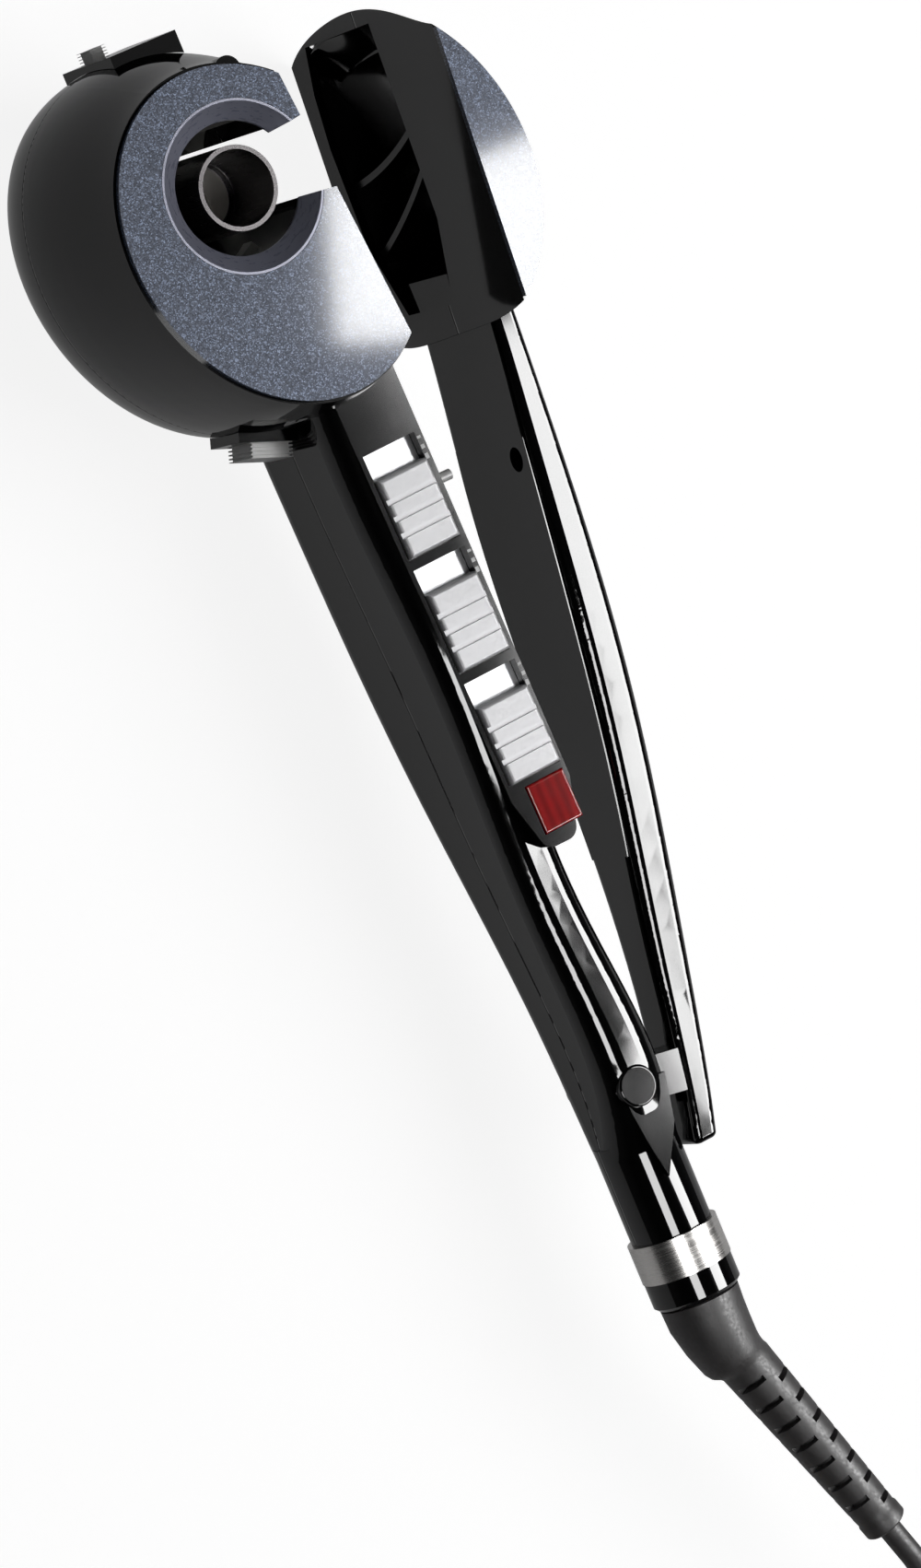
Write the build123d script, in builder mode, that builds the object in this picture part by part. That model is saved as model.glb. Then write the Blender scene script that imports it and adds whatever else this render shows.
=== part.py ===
from build123d import *
from functools import cache
from math import cos, pi, radians, sin, sqrt, tan
import os

os.makedirs("parts", exist_ok=True)

# Automatic hair curler, lying on the back of its head.
# X points the way the jaw opens, Y from the cord to the head, Z along the curling barrel.
# All lengths are in millimetres and all angles in degrees.

# Head: a closed oval drum that a flat chord cuts into the fixed side and the jaw.
head_depth = 68.0
head_half_width = 35.3
head_half_length = 42.0
head_tilt = 19.8
seam_height = 34.0
wall = 2.0
face_thickness = 1.5
face_half_width = 29.9
face_half_length = 37.0
face_shift_x = 1.9
face_shift_y = -10.8
chord_distance = 18.67
chord_tilt = 5.26
jaw_gap = 0.7
head_section_shares = (
    # height, centre x, centre y, half width, half length
    (0.0, 0.227, -0.238, 0.737, 0.833),
    (0.2, 0.130, -0.231, 0.900, 0.960),
    (0.4, 0.057, -0.219, 0.989, 0.997),
    (0.6, 0.037, -0.217, 0.994, 0.997),
    (0.8, 0.045, -0.240, 0.941, 0.960),
    (1.0, 0.054, -0.257, 0.864, 0.895),
)

# Hair slot from the chord to the barrel
slot_inner_x = 4.0
slot_outer_x = 20.0
slot_inner_half = 6.1
slot_outer_half = 8.2
slot_shift = 0.6
slot_floor = 6.9

# Barrel, its base and the heater
barrel_radius = 8.8
barrel_bore_radius = 7.9
barrel_seat_radius = 7.7
barrel_recess = 2.3
barrel_foot_radius = 12.4
barrel_foot_thickness = 1.5
journal_radius = 10.4
journal_height = 6.0
base_flange_radius = 12.0
base_flange_thickness = 5.0
spigot_height = 5.0
heater_length = 29.0
heater_radius = 6.5
band_thickness = 1.0
band_margin = 2.0
fuse_radius = 1.5
fuse_length = 11.0
ring_rim_radius = 17.4
ring_throat_radius = 13.8
ring_lip = 0.5
ring_depth = 3.5
ring_slope_depth = 2.8
liner_radius = 18.4
liner_thickness = 1.2
liner_opening_angle = 70.0

# Rotor, pinion and motor
gear_module = 1.0
ring_teeth = 33
pinion_teeth = 22
gear_backlash = 0.24
pressure_angle = 20.0
addendum_share = 1.0
dedendum_share = 1.2
rotor_thickness = 5.6
finger_inner_radius = 15.0
finger_outer_radius = 17.3
finger_arc = 16.0
finger_hook_arc = 34.0
finger_length = 27.0
finger_hook_length = 4.0
finger_start_angle = 100.0
finger_count = 2
pinion_direction = -85.8
motor_radius = 7.4
motor_length = 28.0
shaft_radius = 1.15
shaft_seat_depth = 8.0
shaft_boss_radius = 3.0
bracket_thickness = 2.4
bracket_width = 12.0
bracket_leg_radius = 1.9
bracket_leg_reach = 14.3
bracket_lift = 0.85

# Clearances
running_clearance = 0.05
fit_clearance = 0.1
body_clearance = 0.3
overrun = 5.0

# Handle: stations along Y, each with its left edge, right edge and thickness
arm_length = 238.0
arm_span = 25.0
arm_depth = 39.0
arm_station_shares = (
    (0.151, 0.120, 0.780, 0.936, 0.380),
    (0.262, 0.140, 0.800, 0.974, 0.380),
    (0.374, 0.180, 0.812, 0.995, 0.380),
    (0.485, 0.226, 0.808, 0.980, 0.380),
    (0.596, 0.256, 0.776, 0.820, 0.380),
    (0.707, 0.308, 0.836, 0.685, 0.380),
    (0.818, 0.360, 0.960, 0.650, 0.380),
    (0.920, 0.277, 0.995, 0.460, 0.498),
)
neck_x = 15.9
neck_radius = 9.0
neck_start = 216.0
neck_bore_radius = 7.2
collar_radius = 10.0
collar_length = 8.6
collar_thickness = 1.4
cap_radius = 9.8
cap_length = 6.4
cap_chamfer = 0.8
hood_shares = (
    # x as a share of arm_span, y as a share of arm_length
    (0.500, -0.862),
    (0.500, -0.882),
    (0.545, -0.918),
    (0.600, -0.947),
    (0.840, -0.905),
    (0.930, -0.862),
)
hood_height = 10.8

# Lever, in its closed position: stations with inner edge, outer edge and thickness
lever_station_shares = (
    (0.160, 0.928, 1.160, 0.846, 0.300),
    (0.287, 0.964, 1.276, 0.885, 0.300),
    (0.413, 1.004, 1.388, 0.862, 0.300),
    (0.540, 1.076, 1.480, 0.718, 0.300),
    (0.667, 1.132, 1.528, 0.495, 0.300),
    (0.793, 1.160, 1.504, 0.349, 0.300),
    (0.945, 1.145, 1.360, 0.295, 0.300),
)
lever_end_y = -222.3
lever_end_slant = 10.0
lever_end_fillet = 1.3
lever_wall = 1.6
cover_thickness = 1.6
cavity_floor = 5.0
jaw_mouth_shares = (
    # outline of the jaw's mouth: y as a share of head_half_length, z as a share of head_depth
    (0.524, 0.132),
    (0.536, 0.588),
    (-0.476, 0.61),
    (-0.905, 0.529),
    (-0.905, 0.221),
    (-0.524, 0.103),
    (0.0, 0.074),
    (0.286, 0.088),
)
jaw_floor_thickness = 2.0
rib_width = 1.4

# Hinge
hinge_x = 15.5
hinge_y = -205.0
open_angle = 9.45
pin_radius = 2.0
hinge_eye_radius = 5.5
lug_thickness = 12.0
lug_width = 9.0
lug_reach = 31.0
lug_slot_margin = 1.0
lug_slot_half_length = 9.0
hinge_half_thickness = 12.0
hinge_cap_radius = 4.4
hinge_cap_thickness = 1.6
hinge_cap_proud = 0.5
spring_outer_radius = 3.7
spring_thickness = 1.2
spring_length = 4.0
spring_well_radius = 4.1

# Switch console and what it carries
console_top = 53.0
panel_thickness = 4.0
console_bottom = 38.0
console_left_near = 7.2
console_left_far = 10.2
console_right_near = 23.2
console_right_far = 25.0
console_near = -44.0
console_far = -139.0
console_end = -151.0
console_end_inset = 3.6
console_corner = 3.0
switch_count = 3
switch_x = 15.75
switch_y = -72.65
switch_pitch = 25.65
switch_tilt = 1.7
window_width = 13.0
window_length = 23.4
window_depth = 3.0
cap_width = 12.4
cap_length_along = 17.4
cap_proud = 1.5
cap_lift = 0.9
cap_fillet = 0.8
cap_groove_count = 3
cap_groove_width = 1.2
cap_groove_depth = 0.6
cap_groove_pitch = 3.7
cap_travel = 4.5
stem_size = 3.0
stem_reach = 4.0
label_thickness = 0.5
switch_body_width = 8.0
switch_body_length = 12.0
switch_body_height = 7.0
board_width = 7.4
board_length = 72.0
board_thickness = 1.6
board_x = 12.6
board_y = -99.0
buzzer_radius = 4.5
buzzer_height = 4.0
lens_x = 19.3
lens_y = -142.4
lens_width = 9.8
lens_length = 11.0
lens_depth = 2.4
lens_proud = 0.5
led_radius = 1.5
contact_pin_y = -72.6
contact_pin_radius = 1.15
contact_pin_height = 44.4
contact_pin_tip = 30.2
contact_pin_flange_radius = 1.9
contact_pin_flange = 1.2
contact_pin_relief = 1.5
terminal_width = 7.0
terminal_length = 12.0
terminal_height = 7.0
terminal_x = 14.3
terminal_y = -171.0

# Grip strips on the head's tip and heel: width, lowest and highest place along Z
strip_proud = 1.3
strip_sink = 4.0
pad_groove_count = 4
pad_groove_width = 0.5
pad_groove_depth = 0.6
tip_strip_x = 2.0
tip_strip_y = 32.4
tip_strip_width = 16.0
tip_strip_bottom = 22.0
tip_strip_top = 46.0
tip_pad_shift = -2.8
tip_pad_width = 4.0
tip_pad_height = 2.6
tip_pad_bottom = 25.0
tip_pad_top = 31.0
heel_strip_x = -3.2
heel_strip_y = -50.0
heel_strip_tilt = -20.0
heel_strip_width = 13.5
heel_strip_bottom = 27.0
heel_strip_top = 41.0
heel_pad_shift = -1.0
heel_pad_width = 9.5
heel_pad_height = 3.2
heel_pad_bottom = 29.0
heel_pad_top = 40.0

# Screws, on their places as shares of the head's and handle's sizes
screw_radius = 1.4
screw_head_radius = 2.5
screw_head_height = 1.6
screw_boss_radius = 3.0
head_screw_length = 40.0
head_screw_places = (
    (0.397 * head_half_width, -0.905 * head_half_length),
    (0.227 * head_half_width, 0.536 * head_half_length),
    (-0.382 * head_half_width, -0.448 * head_half_length),
)
arm_screw_length = 22.0
arm_screw_places = (
    (0.476 * arm_span, -0.245 * arm_length),
    (0.500 * arm_span, -0.618 * arm_length),
)
jaw_screw_places = (
    (0.708 * head_half_width, 0.190 * head_half_length),
    (0.750 * head_half_width, -0.660 * head_half_length),
)
jaw_screw_length = 4.5
jaw_rib_shares = (
    # far end, middle and near end of each curved rib, in the same shares as the mouth
    ((-0.014, 0.572), (-0.152, 0.316), (-0.217, 0.074)),
    ((-0.207, 0.579), (-0.41, 0.36), (-0.607, 0.074)),
)

# Swivel, strain relief, cord and plug
sleeve_radius = 5.0
sleeve_flange_radius = 6.8
sleeve_flange = 1.6
boot_root_radius = 8.9
boot_root_length = 5.7
boot_bend = 19.5
boot_station_shares = (
    # distance along the boot as a share of boot_length, radius as a share of boot_root_radius
    (0.000, 0.900),
    (0.110, 0.860),
    (0.190, 0.690),
    (0.300, 0.660),
    (0.960, 0.520),
)
boot_length = 61.0
boot_ring_radius = 4.9
boot_ring_length = 3.0
boot_slot_count = 14
boot_slot_start = 15.5
boot_slot_pitch = 3.0
boot_slot_width = 1.3
boot_core_radius = 3.3
boot_web = 3.4
cord_radius = 2.65
coil_turns = 4
coil_sides = 8
coil_radius = 42.0
coil_pitch = 5.95
coil_tail = 36.0
plug_length = 34.0
plug_width = 26.0
plug_thickness = 13.4
plug_corner = 4.0
plug_neck_radius = 4.6
plug_neck_length = 12.0
plug_pin_radius = 2.0
plug_pin_length = 19.0
plug_pin_spacing = 18.6

# Worked-out heights and places
housing_top = head_depth - face_thickness
journal_bottom = wall + base_flange_thickness
journal_top = journal_bottom + journal_height
barrel_top = head_depth - barrel_recess
foot_top = journal_top + barrel_foot_thickness
rotor_bottom = journal_bottom + 3 * running_clearance
rotor_top = rotor_bottom + rotor_thickness
pinion_distance = gear_module * (ring_teeth + pinion_teeth) / 2
bracket_bottom = rotor_top + bracket_lift
bracket_top = bracket_bottom + bracket_thickness
liner_top = housing_top - wall
liner_bottom = rotor_top + 2 * body_clearance
panel_bottom = console_top - panel_thickness
console_ceiling = panel_bottom - wall
console_floor_z = console_bottom + wall
board_top = console_ceiling - switch_body_height
collar_end = arm_length + collar_length
cap_end = collar_end + cap_length
boot_start = cap_end + body_clearance

seam_plane = Plane.XY.offset(seam_height)
chord_plane = Plane(
    origin=(chord_distance * cos(radians(chord_tilt)), chord_distance * sin(radians(chord_tilt)), 0),
    x_dir=(0, 0, 1),
    z_dir=(cos(radians(chord_tilt)), sin(radians(chord_tilt)), 0),
)
jaw_plane = chord_plane.offset(jaw_gap)
lever_end_plane = Plane(
    origin=(arm_span, lever_end_y, 0),
    x_dir=(cos(radians(lever_end_slant)), sin(radians(lever_end_slant)), 0),
    z_dir=(-sin(radians(lever_end_slant)), cos(radians(lever_end_slant)), 0),
)
hinge_axis = Axis((hinge_x, hinge_y, 0), (0, 0, 1))
neck_plane = Plane(origin=(neck_x, 0, seam_height), x_dir=(1, 0, 0), z_dir=(0, -1, 0))


def polar_point(distance, angle):
    """A point at a distance and an angle about the barrel."""
    return distance * cos(radians(angle)), distance * sin(radians(angle))


def oval_plane(x, y, z):
    """A level plane turned by the head's tilt."""
    return Plane(origin=(x, y, z), x_dir=(cos(radians(head_tilt)), sin(radians(head_tilt)), 0))


def cross_plane(x, y):
    """A plane across the handle, facing the cord, with its middle on the seam."""
    return Plane(origin=(x, y, seam_height), x_dir=(1, 0, 0), z_dir=(0, -1, 0))


def tilted_plane(x, y, z, angle):
    """A level plane at a place, turned by an angle."""
    return Plane(origin=(x, y, z), x_dir=(cos(radians(angle)), sin(radians(angle)), 0))


@cache
def head_body(inset):
    """The closed head, lofted through its oval sections and drawn in by inset."""
    last = len(head_section_shares) - 1
    with BuildPart() as body:
        for place, (height, x, y, half_width, half_length) in enumerate(head_section_shares):
            lift = inset if place == 0 else -inset if place == last else 0
            with BuildSketch(
                oval_plane(x * head_half_width, y * head_half_length, height * housing_top + lift)
            ):
                Ellipse(half_width * head_half_width - inset, half_length * head_half_length - inset)
        loft()
    return body.part


def arm_body(stations, inset):
    """A long moulded arm, lofted through rounded stations and drawn in by inset."""
    with BuildPart() as body:
        for along, left, right, thick, corner in stations:
            width = (right - left) * arm_span - 2 * inset
            depth = thick * arm_depth - 2 * inset
            with BuildSketch(cross_plane((left + right) / 2 * arm_span, -along * arm_length)):
                RectangleRounded(width, depth, corner * min(width, depth))
        loft()
    return body.part


def channel_body(stations, inner_edge, outer_edge, side):
    """A straight-sided core of the lever between two distances from its inner edge."""
    with BuildPart() as body:
        for along, inner, outer, thick, _ in stations:
            low = inner * arm_span + inner_edge
            high = (inner * arm_span + cover_thickness) if outer_edge is None else outer * arm_span - outer_edge
            with BuildSketch(cross_plane((low + high) / 2, -along * arm_length)):
                Rectangle(high - low, thick * arm_depth - 2 * side)
        loft()
    return body.part


def slot_outline():
    """The hair slot's outline, widening from the barrel to the chord and past it."""
    flare = (slot_outer_half - slot_inner_half) / (slot_outer_x - slot_inner_x)
    far_x = slot_outer_x + 2 * overrun
    far_half = slot_outer_half + 2 * overrun * flare
    with BuildSketch() as outline:
        with BuildLine():
            Polyline(
                (slot_inner_x, slot_shift - slot_inner_half),
                (far_x, slot_shift - far_half),
                (far_x, slot_shift + far_half),
                (slot_inner_x, slot_shift + slot_inner_half),
                close=True,
            )
        make_face()
    return outline.sketch


def console_outline():
    """The switch console's outline, tapered and rounded at its far end."""
    with BuildSketch() as outline:
        with BuildLine():
            Polyline(
                (console_left_near, console_near),
                (console_left_far, console_far),
                (console_left_far + console_end_inset, console_end),
                (console_right_far - console_end_inset, console_end),
                (console_right_far, console_far),
                (console_right_near, console_near),
                close=True,
            )
        make_face()
        fillet(outline.vertices().group_by(Axis.Y)[0], radius=console_corner)
    return outline.sketch


def gear_outline(teeth, phase):
    """A spur gear's outline with straight flanks and a tooth at the phase angle."""
    pitch_radius = gear_module * teeth / 2
    addendum = addendum_share * gear_module
    dedendum = dedendum_share * gear_module
    half = (pi * gear_module / 2 - gear_backlash) / 2
    lean = tan(radians(pressure_angle))
    with BuildSketch() as outline:
        Circle(pitch_radius - dedendum)
        with PolarLocations(pitch_radius, teeth, start_angle=phase):
            Polygon(
                (-dedendum - gear_backlash, -half - dedendum * lean),
                (addendum, -half + addendum * lean),
                (addendum, half - addendum * lean),
                (-dedendum - gear_backlash, half + dedendum * lean),
                align=None,
            )
    return outline.sketch


def finger_outline(arc, turn):
    """A piece of ring as wide as a finger and as long as an arc, at a turn about the barrel."""
    reach = 2 * finger_outer_radius
    with BuildSketch() as outline:
        Circle(finger_outer_radius)
        Circle(finger_inner_radius, mode=Mode.SUBTRACT)
        with BuildLine():
            Polyline(
                (0, 0),
                polar_point(reach, turn - arc / 2),
                polar_point(reach, turn + arc / 2),
                close=True,
            )
        make_face(mode=Mode.INTERSECT)
    return outline.sketch


def switch_place(number):
    """The centre of a switch, counted from the head."""
    along = number * switch_pitch
    return switch_x + along * sin(radians(switch_tilt)), switch_y - along * cos(radians(switch_tilt))


def switch_plane(number, height):
    """A level plane at a switch, turned to the console's axis."""
    x, y = switch_place(number)
    return tilted_plane(x, y, height, switch_tilt)


pinion_x, pinion_y = polar_point(pinion_distance, pinion_direction)

# The fixed side's cavity, behind its wall and its flat chord wall
with BuildPart() as main_cavity:
    add(head_body(wall))
    split(bisect_by=chord_plane.offset(-wall), keep=Keep.BOTTOM)

# Front half of the fixed head: a thin drum with a round seat for the bevel ring and the hair slot
with BuildPart() as head_front_shell:
    add(head_body(0))
    split(bisect_by=seam_plane, keep=Keep.TOP)
    split(bisect_by=chord_plane, keep=Keep.BOTTOM)
    add(main_cavity.part, mode=Mode.SUBTRACT)
    with BuildSketch(seam_plane):
        with Locations(*head_screw_places):
            Circle(screw_boss_radius)
    extrude(amount=housing_top - seam_height - wall / 2)
    with BuildSketch(seam_plane):
        with Locations(*head_screw_places):
            Circle(screw_radius + fit_clearance)
    extrude(amount=head_screw_length - seam_height + wall, mode=Mode.SUBTRACT)
    with BuildSketch(Plane.XY.offset(liner_top)):
        Circle(ring_rim_radius + ring_lip + fit_clearance)
    extrude(amount=overrun, mode=Mode.SUBTRACT)
    extrude(slot_outline(), amount=head_depth + overrun, mode=Mode.SUBTRACT)
head_front_shell.part.label = "head_front_shell"
export_step(head_front_shell.part, "parts/head_front_shell.step")

# Screw bosses of the rear half, cut to the drum where they run into its wall
with BuildPart() as rear_bosses:
    add(head_body(wall / 2))
    with BuildSketch():
        with Locations(*head_screw_places):
            Circle(screw_boss_radius)
    extrude(amount=seam_height, mode=Mode.INTERSECT)

# Rear half of the fixed head: its flat back is the face that the curler rests on
with BuildPart() as head_rear_shell:
    add(head_body(0))
    split(bisect_by=seam_plane, keep=Keep.BOTTOM)
    split(bisect_by=chord_plane, keep=Keep.BOTTOM)
    add(main_cavity.part, mode=Mode.SUBTRACT)
    add(rear_bosses.part)
    with BuildSketch():
        with Locations(*head_screw_places):
            Circle(screw_radius + fit_clearance)
    extrude(amount=seam_height, mode=Mode.SUBTRACT)
    with BuildSketch():
        with Locations(*head_screw_places):
            Circle(screw_head_radius + fit_clearance)
    extrude(amount=screw_head_height, mode=Mode.SUBTRACT)
    with BuildSketch(Plane.XY.offset(wall)):
        with Locations((pinion_x, pinion_y)):
            Circle(shaft_boss_radius)
    extrude(amount=rotor_bottom - wall - body_clearance)
    with BuildSketch(Plane.XY.offset(wall)):
        with Locations((pinion_x, pinion_y)):
            Circle(shaft_radius + running_clearance)
    extrude(amount=rotor_bottom, mode=Mode.SUBTRACT)
    with BuildSketch(Plane.XY.offset(slot_floor)):
        add(slot_outline())
    extrude(amount=head_depth, mode=Mode.SUBTRACT)
head_rear_shell.part.label = "head_rear_shell"
export_step(head_rear_shell.part, "parts/head_rear_shell.step")

# Slate face plate over the fixed head, cut by the chord, the bevel ring and the hair slot
with BuildPart() as main_face_plate:
    with BuildSketch(oval_plane(face_shift_x, face_shift_y, housing_top)):
        Ellipse(face_half_width, face_half_length)
    extrude(amount=face_thickness)
    split(bisect_by=chord_plane, keep=Keep.BOTTOM)
    with BuildSketch(Plane.XY.offset(housing_top)):
        Circle(ring_rim_radius + ring_lip + fit_clearance)
        add(slot_outline())
    extrude(amount=face_thickness, mode=Mode.SUBTRACT)
main_face_plate.part.label = "main_face_plate"
export_step(main_face_plate.part, "parts/main_face_plate.step")

# Bevel ring: a funnel round the barrel's mouth, open at the hair slot
with BuildPart() as bevel_ring:
    with BuildSketch(Plane.XZ):
        with BuildLine():
            Polyline(
                (ring_throat_radius, head_depth - ring_depth),
                (ring_rim_radius + ring_lip, head_depth - ring_depth),
                (ring_rim_radius + ring_lip, head_depth),
                (ring_rim_radius, head_depth),
                (ring_throat_radius, head_depth - ring_slope_depth),
                close=True,
            )
        make_face()
    revolve(axis=Axis.Z)
    extrude(slot_outline(), amount=head_depth + overrun, mode=Mode.SUBTRACT)
bevel_ring.part.label = "bevel_ring"
export_step(bevel_ring.part, "parts/bevel_ring.step")

# Chamber liner: the wall that the hair is wound inside, open towards the slot
with BuildPart() as chamber_liner:
    with BuildSketch(Plane.XY.offset(liner_bottom)):
        Circle(liner_radius + liner_thickness)
        Circle(liner_radius, mode=Mode.SUBTRACT)
        with BuildLine():
            Polyline(
                (0, 0),
                polar_point(3 * liner_radius, chord_tilt - liner_opening_angle / 2),
                polar_point(3 * liner_radius, chord_tilt + liner_opening_angle / 2),
                close=True,
            )
        make_face(mode=Mode.SUBTRACT)
    extrude(amount=liner_top - liner_bottom)
chamber_liner.part.label = "chamber_liner"
export_step(chamber_liner.part, "parts/chamber_liner.step")

# Barrel base: flange on the rear wall, journal for the rotor and spigot for the barrel
with BuildPart() as barrel_base:
    with BuildSketch(Plane.XY.offset(wall)):
        Circle(base_flange_radius)
    extrude(amount=base_flange_thickness)
    with BuildSketch(Plane.XY.offset(journal_bottom)):
        Circle(journal_radius)
    extrude(amount=journal_height)
    with BuildSketch(Plane.XY.offset(journal_top)):
        Circle(barrel_seat_radius - fit_clearance)
    extrude(amount=spigot_height)
barrel_base.part.label = "barrel_base"
export_step(barrel_base.part, "parts/barrel_base.step")

# Curling barrel: a thin aluminium tube on a foot that also keeps the rotor down
heater_bottom = journal_top + spigot_height
heater_top = heater_bottom + heater_length
with BuildPart() as barrel_tube:
    with BuildSketch(Plane.XY.offset(journal_top)):
        Circle(barrel_foot_radius)
    extrude(amount=barrel_foot_thickness)
    with BuildSketch(Plane.XY.offset(foot_top)):
        Circle(barrel_radius)
    extrude(amount=barrel_top - foot_top)
    with BuildSketch(Plane.XY.offset(journal_top)):
        Circle(barrel_seat_radius)
    extrude(amount=barrel_top - journal_top, mode=Mode.SUBTRACT)
    with BuildSketch(Plane.XY.offset(heater_top)):
        Circle(barrel_bore_radius)
    extrude(amount=barrel_top - heater_top, mode=Mode.SUBTRACT)
barrel_tube.part.label = "barrel_tube"
export_step(barrel_tube.part, "parts/barrel_tube.step")

# Ceramic heater core on the spigot, with a well for the thermal fuse
with BuildPart() as heater_core:
    with BuildSketch(Plane.XY.offset(heater_bottom)):
        Circle(heater_radius)
    extrude(amount=heater_length)
    with BuildSketch(Plane.XY.offset(heater_top - fuse_length)):
        Circle(fuse_radius + fit_clearance)
    extrude(amount=fuse_length, mode=Mode.SUBTRACT)
heater_core.part.label = "heater_core"
export_step(heater_core.part, "parts/heater_core.step")

# Band that presses the core against the barrel
with BuildPart() as heater_band:
    with BuildSketch(Plane.XY.offset(heater_bottom + band_margin)):
        Circle(heater_radius + fit_clearance + band_thickness)
        Circle(heater_radius + fit_clearance, mode=Mode.SUBTRACT)
    extrude(amount=heater_length - 2 * band_margin)
heater_band.part.label = "heater_band"
export_step(heater_band.part, "parts/heater_band.step")

# Thermal fuse in the core's well
with BuildPart() as thermal_fuse:
    with BuildSketch(Plane.XY.offset(heater_top - fuse_length)):
        Circle(fuse_radius)
    extrude(amount=fuse_length - wall)
thermal_fuse.part.label = "thermal_fuse"
export_step(thermal_fuse.part, "parts/thermal_fuse.step")

# Rotor: a ring gear on the journal with hooked fingers that carry the hair round the barrel
with BuildPart() as rotor:
    with BuildSketch(Plane.XY.offset(rotor_bottom)):
        add(gear_outline(ring_teeth, pinion_direction))
        Circle(journal_radius + running_clearance, mode=Mode.SUBTRACT)
    extrude(amount=rotor_thickness)
    for number in range(finger_count):
        turn = finger_start_angle + number * 360 / finger_count
        with BuildSketch(Plane.XY.offset(rotor_top)):
            add(finger_outline(finger_arc, turn))
        extrude(amount=finger_length)
        with BuildSketch(Plane.XY.offset(rotor_top + finger_length)):
            add(finger_outline(finger_hook_arc, turn + (finger_hook_arc - finger_arc) / 2))
        extrude(amount=finger_hook_length)
rotor.part.label = "rotor"
export_step(rotor.part, "parts/rotor.step")

# Pinion in mesh with the rotor's ring gear
pinion_phase = pinion_direction + 180 + 180 / pinion_teeth
with BuildPart() as pinion:
    with BuildSketch(tilted_plane(pinion_x, pinion_y, rotor_bottom, 0)):
        add(gear_outline(pinion_teeth, pinion_phase))
        Circle(shaft_radius, mode=Mode.SUBTRACT)
    extrude(amount=rotor_thickness)
pinion.part.label = "pinion"
export_step(pinion.part, "parts/pinion.step")

# Motor shaft, from its seat in the rear wall's boss into the motor
shaft_bottom = wall + 2 * body_clearance
with BuildPart() as motor_shaft:
    with BuildSketch(tilted_plane(pinion_x, pinion_y, shaft_bottom, 0)):
        Circle(shaft_radius)
    extrude(amount=bracket_top + shaft_seat_depth - body_clearance - shaft_bottom)
motor_shaft.part.label = "motor_shaft"
export_step(motor_shaft.part, "parts/motor_shaft.step")

# Bracket that stands on the rear wall beside the pinion and carries the motor
with BuildPart() as motor_bracket:
    with BuildSketch(tilted_plane(pinion_x, pinion_y, bracket_bottom, 0)):
        Rectangle(2 * bracket_leg_reach, bracket_width)
        with Locations((-bracket_leg_reach, 0), (bracket_leg_reach, 0)):
            Circle(bracket_leg_radius)
        Circle(2 * shaft_radius, mode=Mode.SUBTRACT)
    extrude(amount=bracket_thickness)
    with BuildSketch(tilted_plane(pinion_x, pinion_y, wall, 0)):
        with Locations((-bracket_leg_reach, 0), (bracket_leg_reach, 0)):
            Circle(bracket_leg_radius)
    extrude(amount=bracket_bottom - wall)
    add(head_body(wall + fit_clearance / 2), mode=Mode.INTERSECT)
motor_bracket.part.label = "motor_bracket"
export_step(motor_bracket.part, "parts/motor_bracket.step")

# Motor, standing on its bracket beside the liner
with BuildPart() as motor:
    with BuildSketch(tilted_plane(pinion_x, pinion_y, bracket_top, 0)):
        Circle(motor_radius)
    extrude(amount=motor_length)
    with BuildSketch(tilted_plane(pinion_x, pinion_y, bracket_top, 0)):
        Circle(shaft_radius + running_clearance)
    extrude(amount=shaft_seat_depth, mode=Mode.SUBTRACT)
motor.part.label = "motor"
export_step(motor.part, "parts/motor.step")


def strip_base(place, width, length):
    """A strip's black base, sunk into the drum until it is cut to the drum's form."""
    with BuildPart() as base:
        with BuildSketch(place):
            with Locations((0, (strip_proud - strip_sink) / 2)):
                Rectangle(width, strip_proud + strip_sink)
        extrude(amount=length)
    return base.part


def strip_pad(place, width, height, length):
    """A strip's pale pad with grooves round its sides, stacked outwards like fins."""
    pitch = height / pad_groove_count
    with BuildPart() as pad:
        with BuildSketch(place):
            with Locations((0, strip_proud + height / 2)):
                Rectangle(width, height)
        extrude(amount=length)
        for number in range(pad_groove_count):
            level = strip_proud + (number + 1 / 2) * pitch
            with BuildSketch(place):
                with Locations((0, level)):
                    Rectangle(width, pad_groove_width)
            extrude(amount=pad_groove_depth, mode=Mode.SUBTRACT)
            with BuildSketch(place.offset(length - pad_groove_depth)):
                with Locations((0, level)):
                    Rectangle(width, pad_groove_width)
            extrude(amount=pad_groove_depth, mode=Mode.SUBTRACT)
            with BuildSketch(place):
                with Locations((-width / 2, level), (width / 2, level)):
                    Rectangle(2 * pad_groove_depth, pad_groove_width)
            extrude(amount=length, mode=Mode.SUBTRACT)
    return pad.part


# The handle's outer form: the lofted arm, its round neck, the hood over the neck and the console
with BuildPart() as handle_form:
    add(arm_body(arm_station_shares, 0))
    with BuildSketch(neck_plane.offset(neck_start)):
        Circle(neck_radius)
    extrude(amount=arm_length - neck_start)
    with BuildSketch(seam_plane):
        with BuildLine():
            Polyline([(x * arm_span, y * arm_length) for x, y in hood_shares], close=True)
        make_face()
    extrude(amount=hood_height)
    with BuildSketch(neck_plane.offset(arm_length)):
        Circle(collar_radius - collar_thickness - fit_clearance)
    extrude(amount=collar_length)
    with BuildSketch(Plane.XY.offset(console_bottom)):
        add(console_outline())
    extrude(amount=panel_bottom - console_bottom)
    add(head_body(-fit_clearance), mode=Mode.SUBTRACT)

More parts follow.
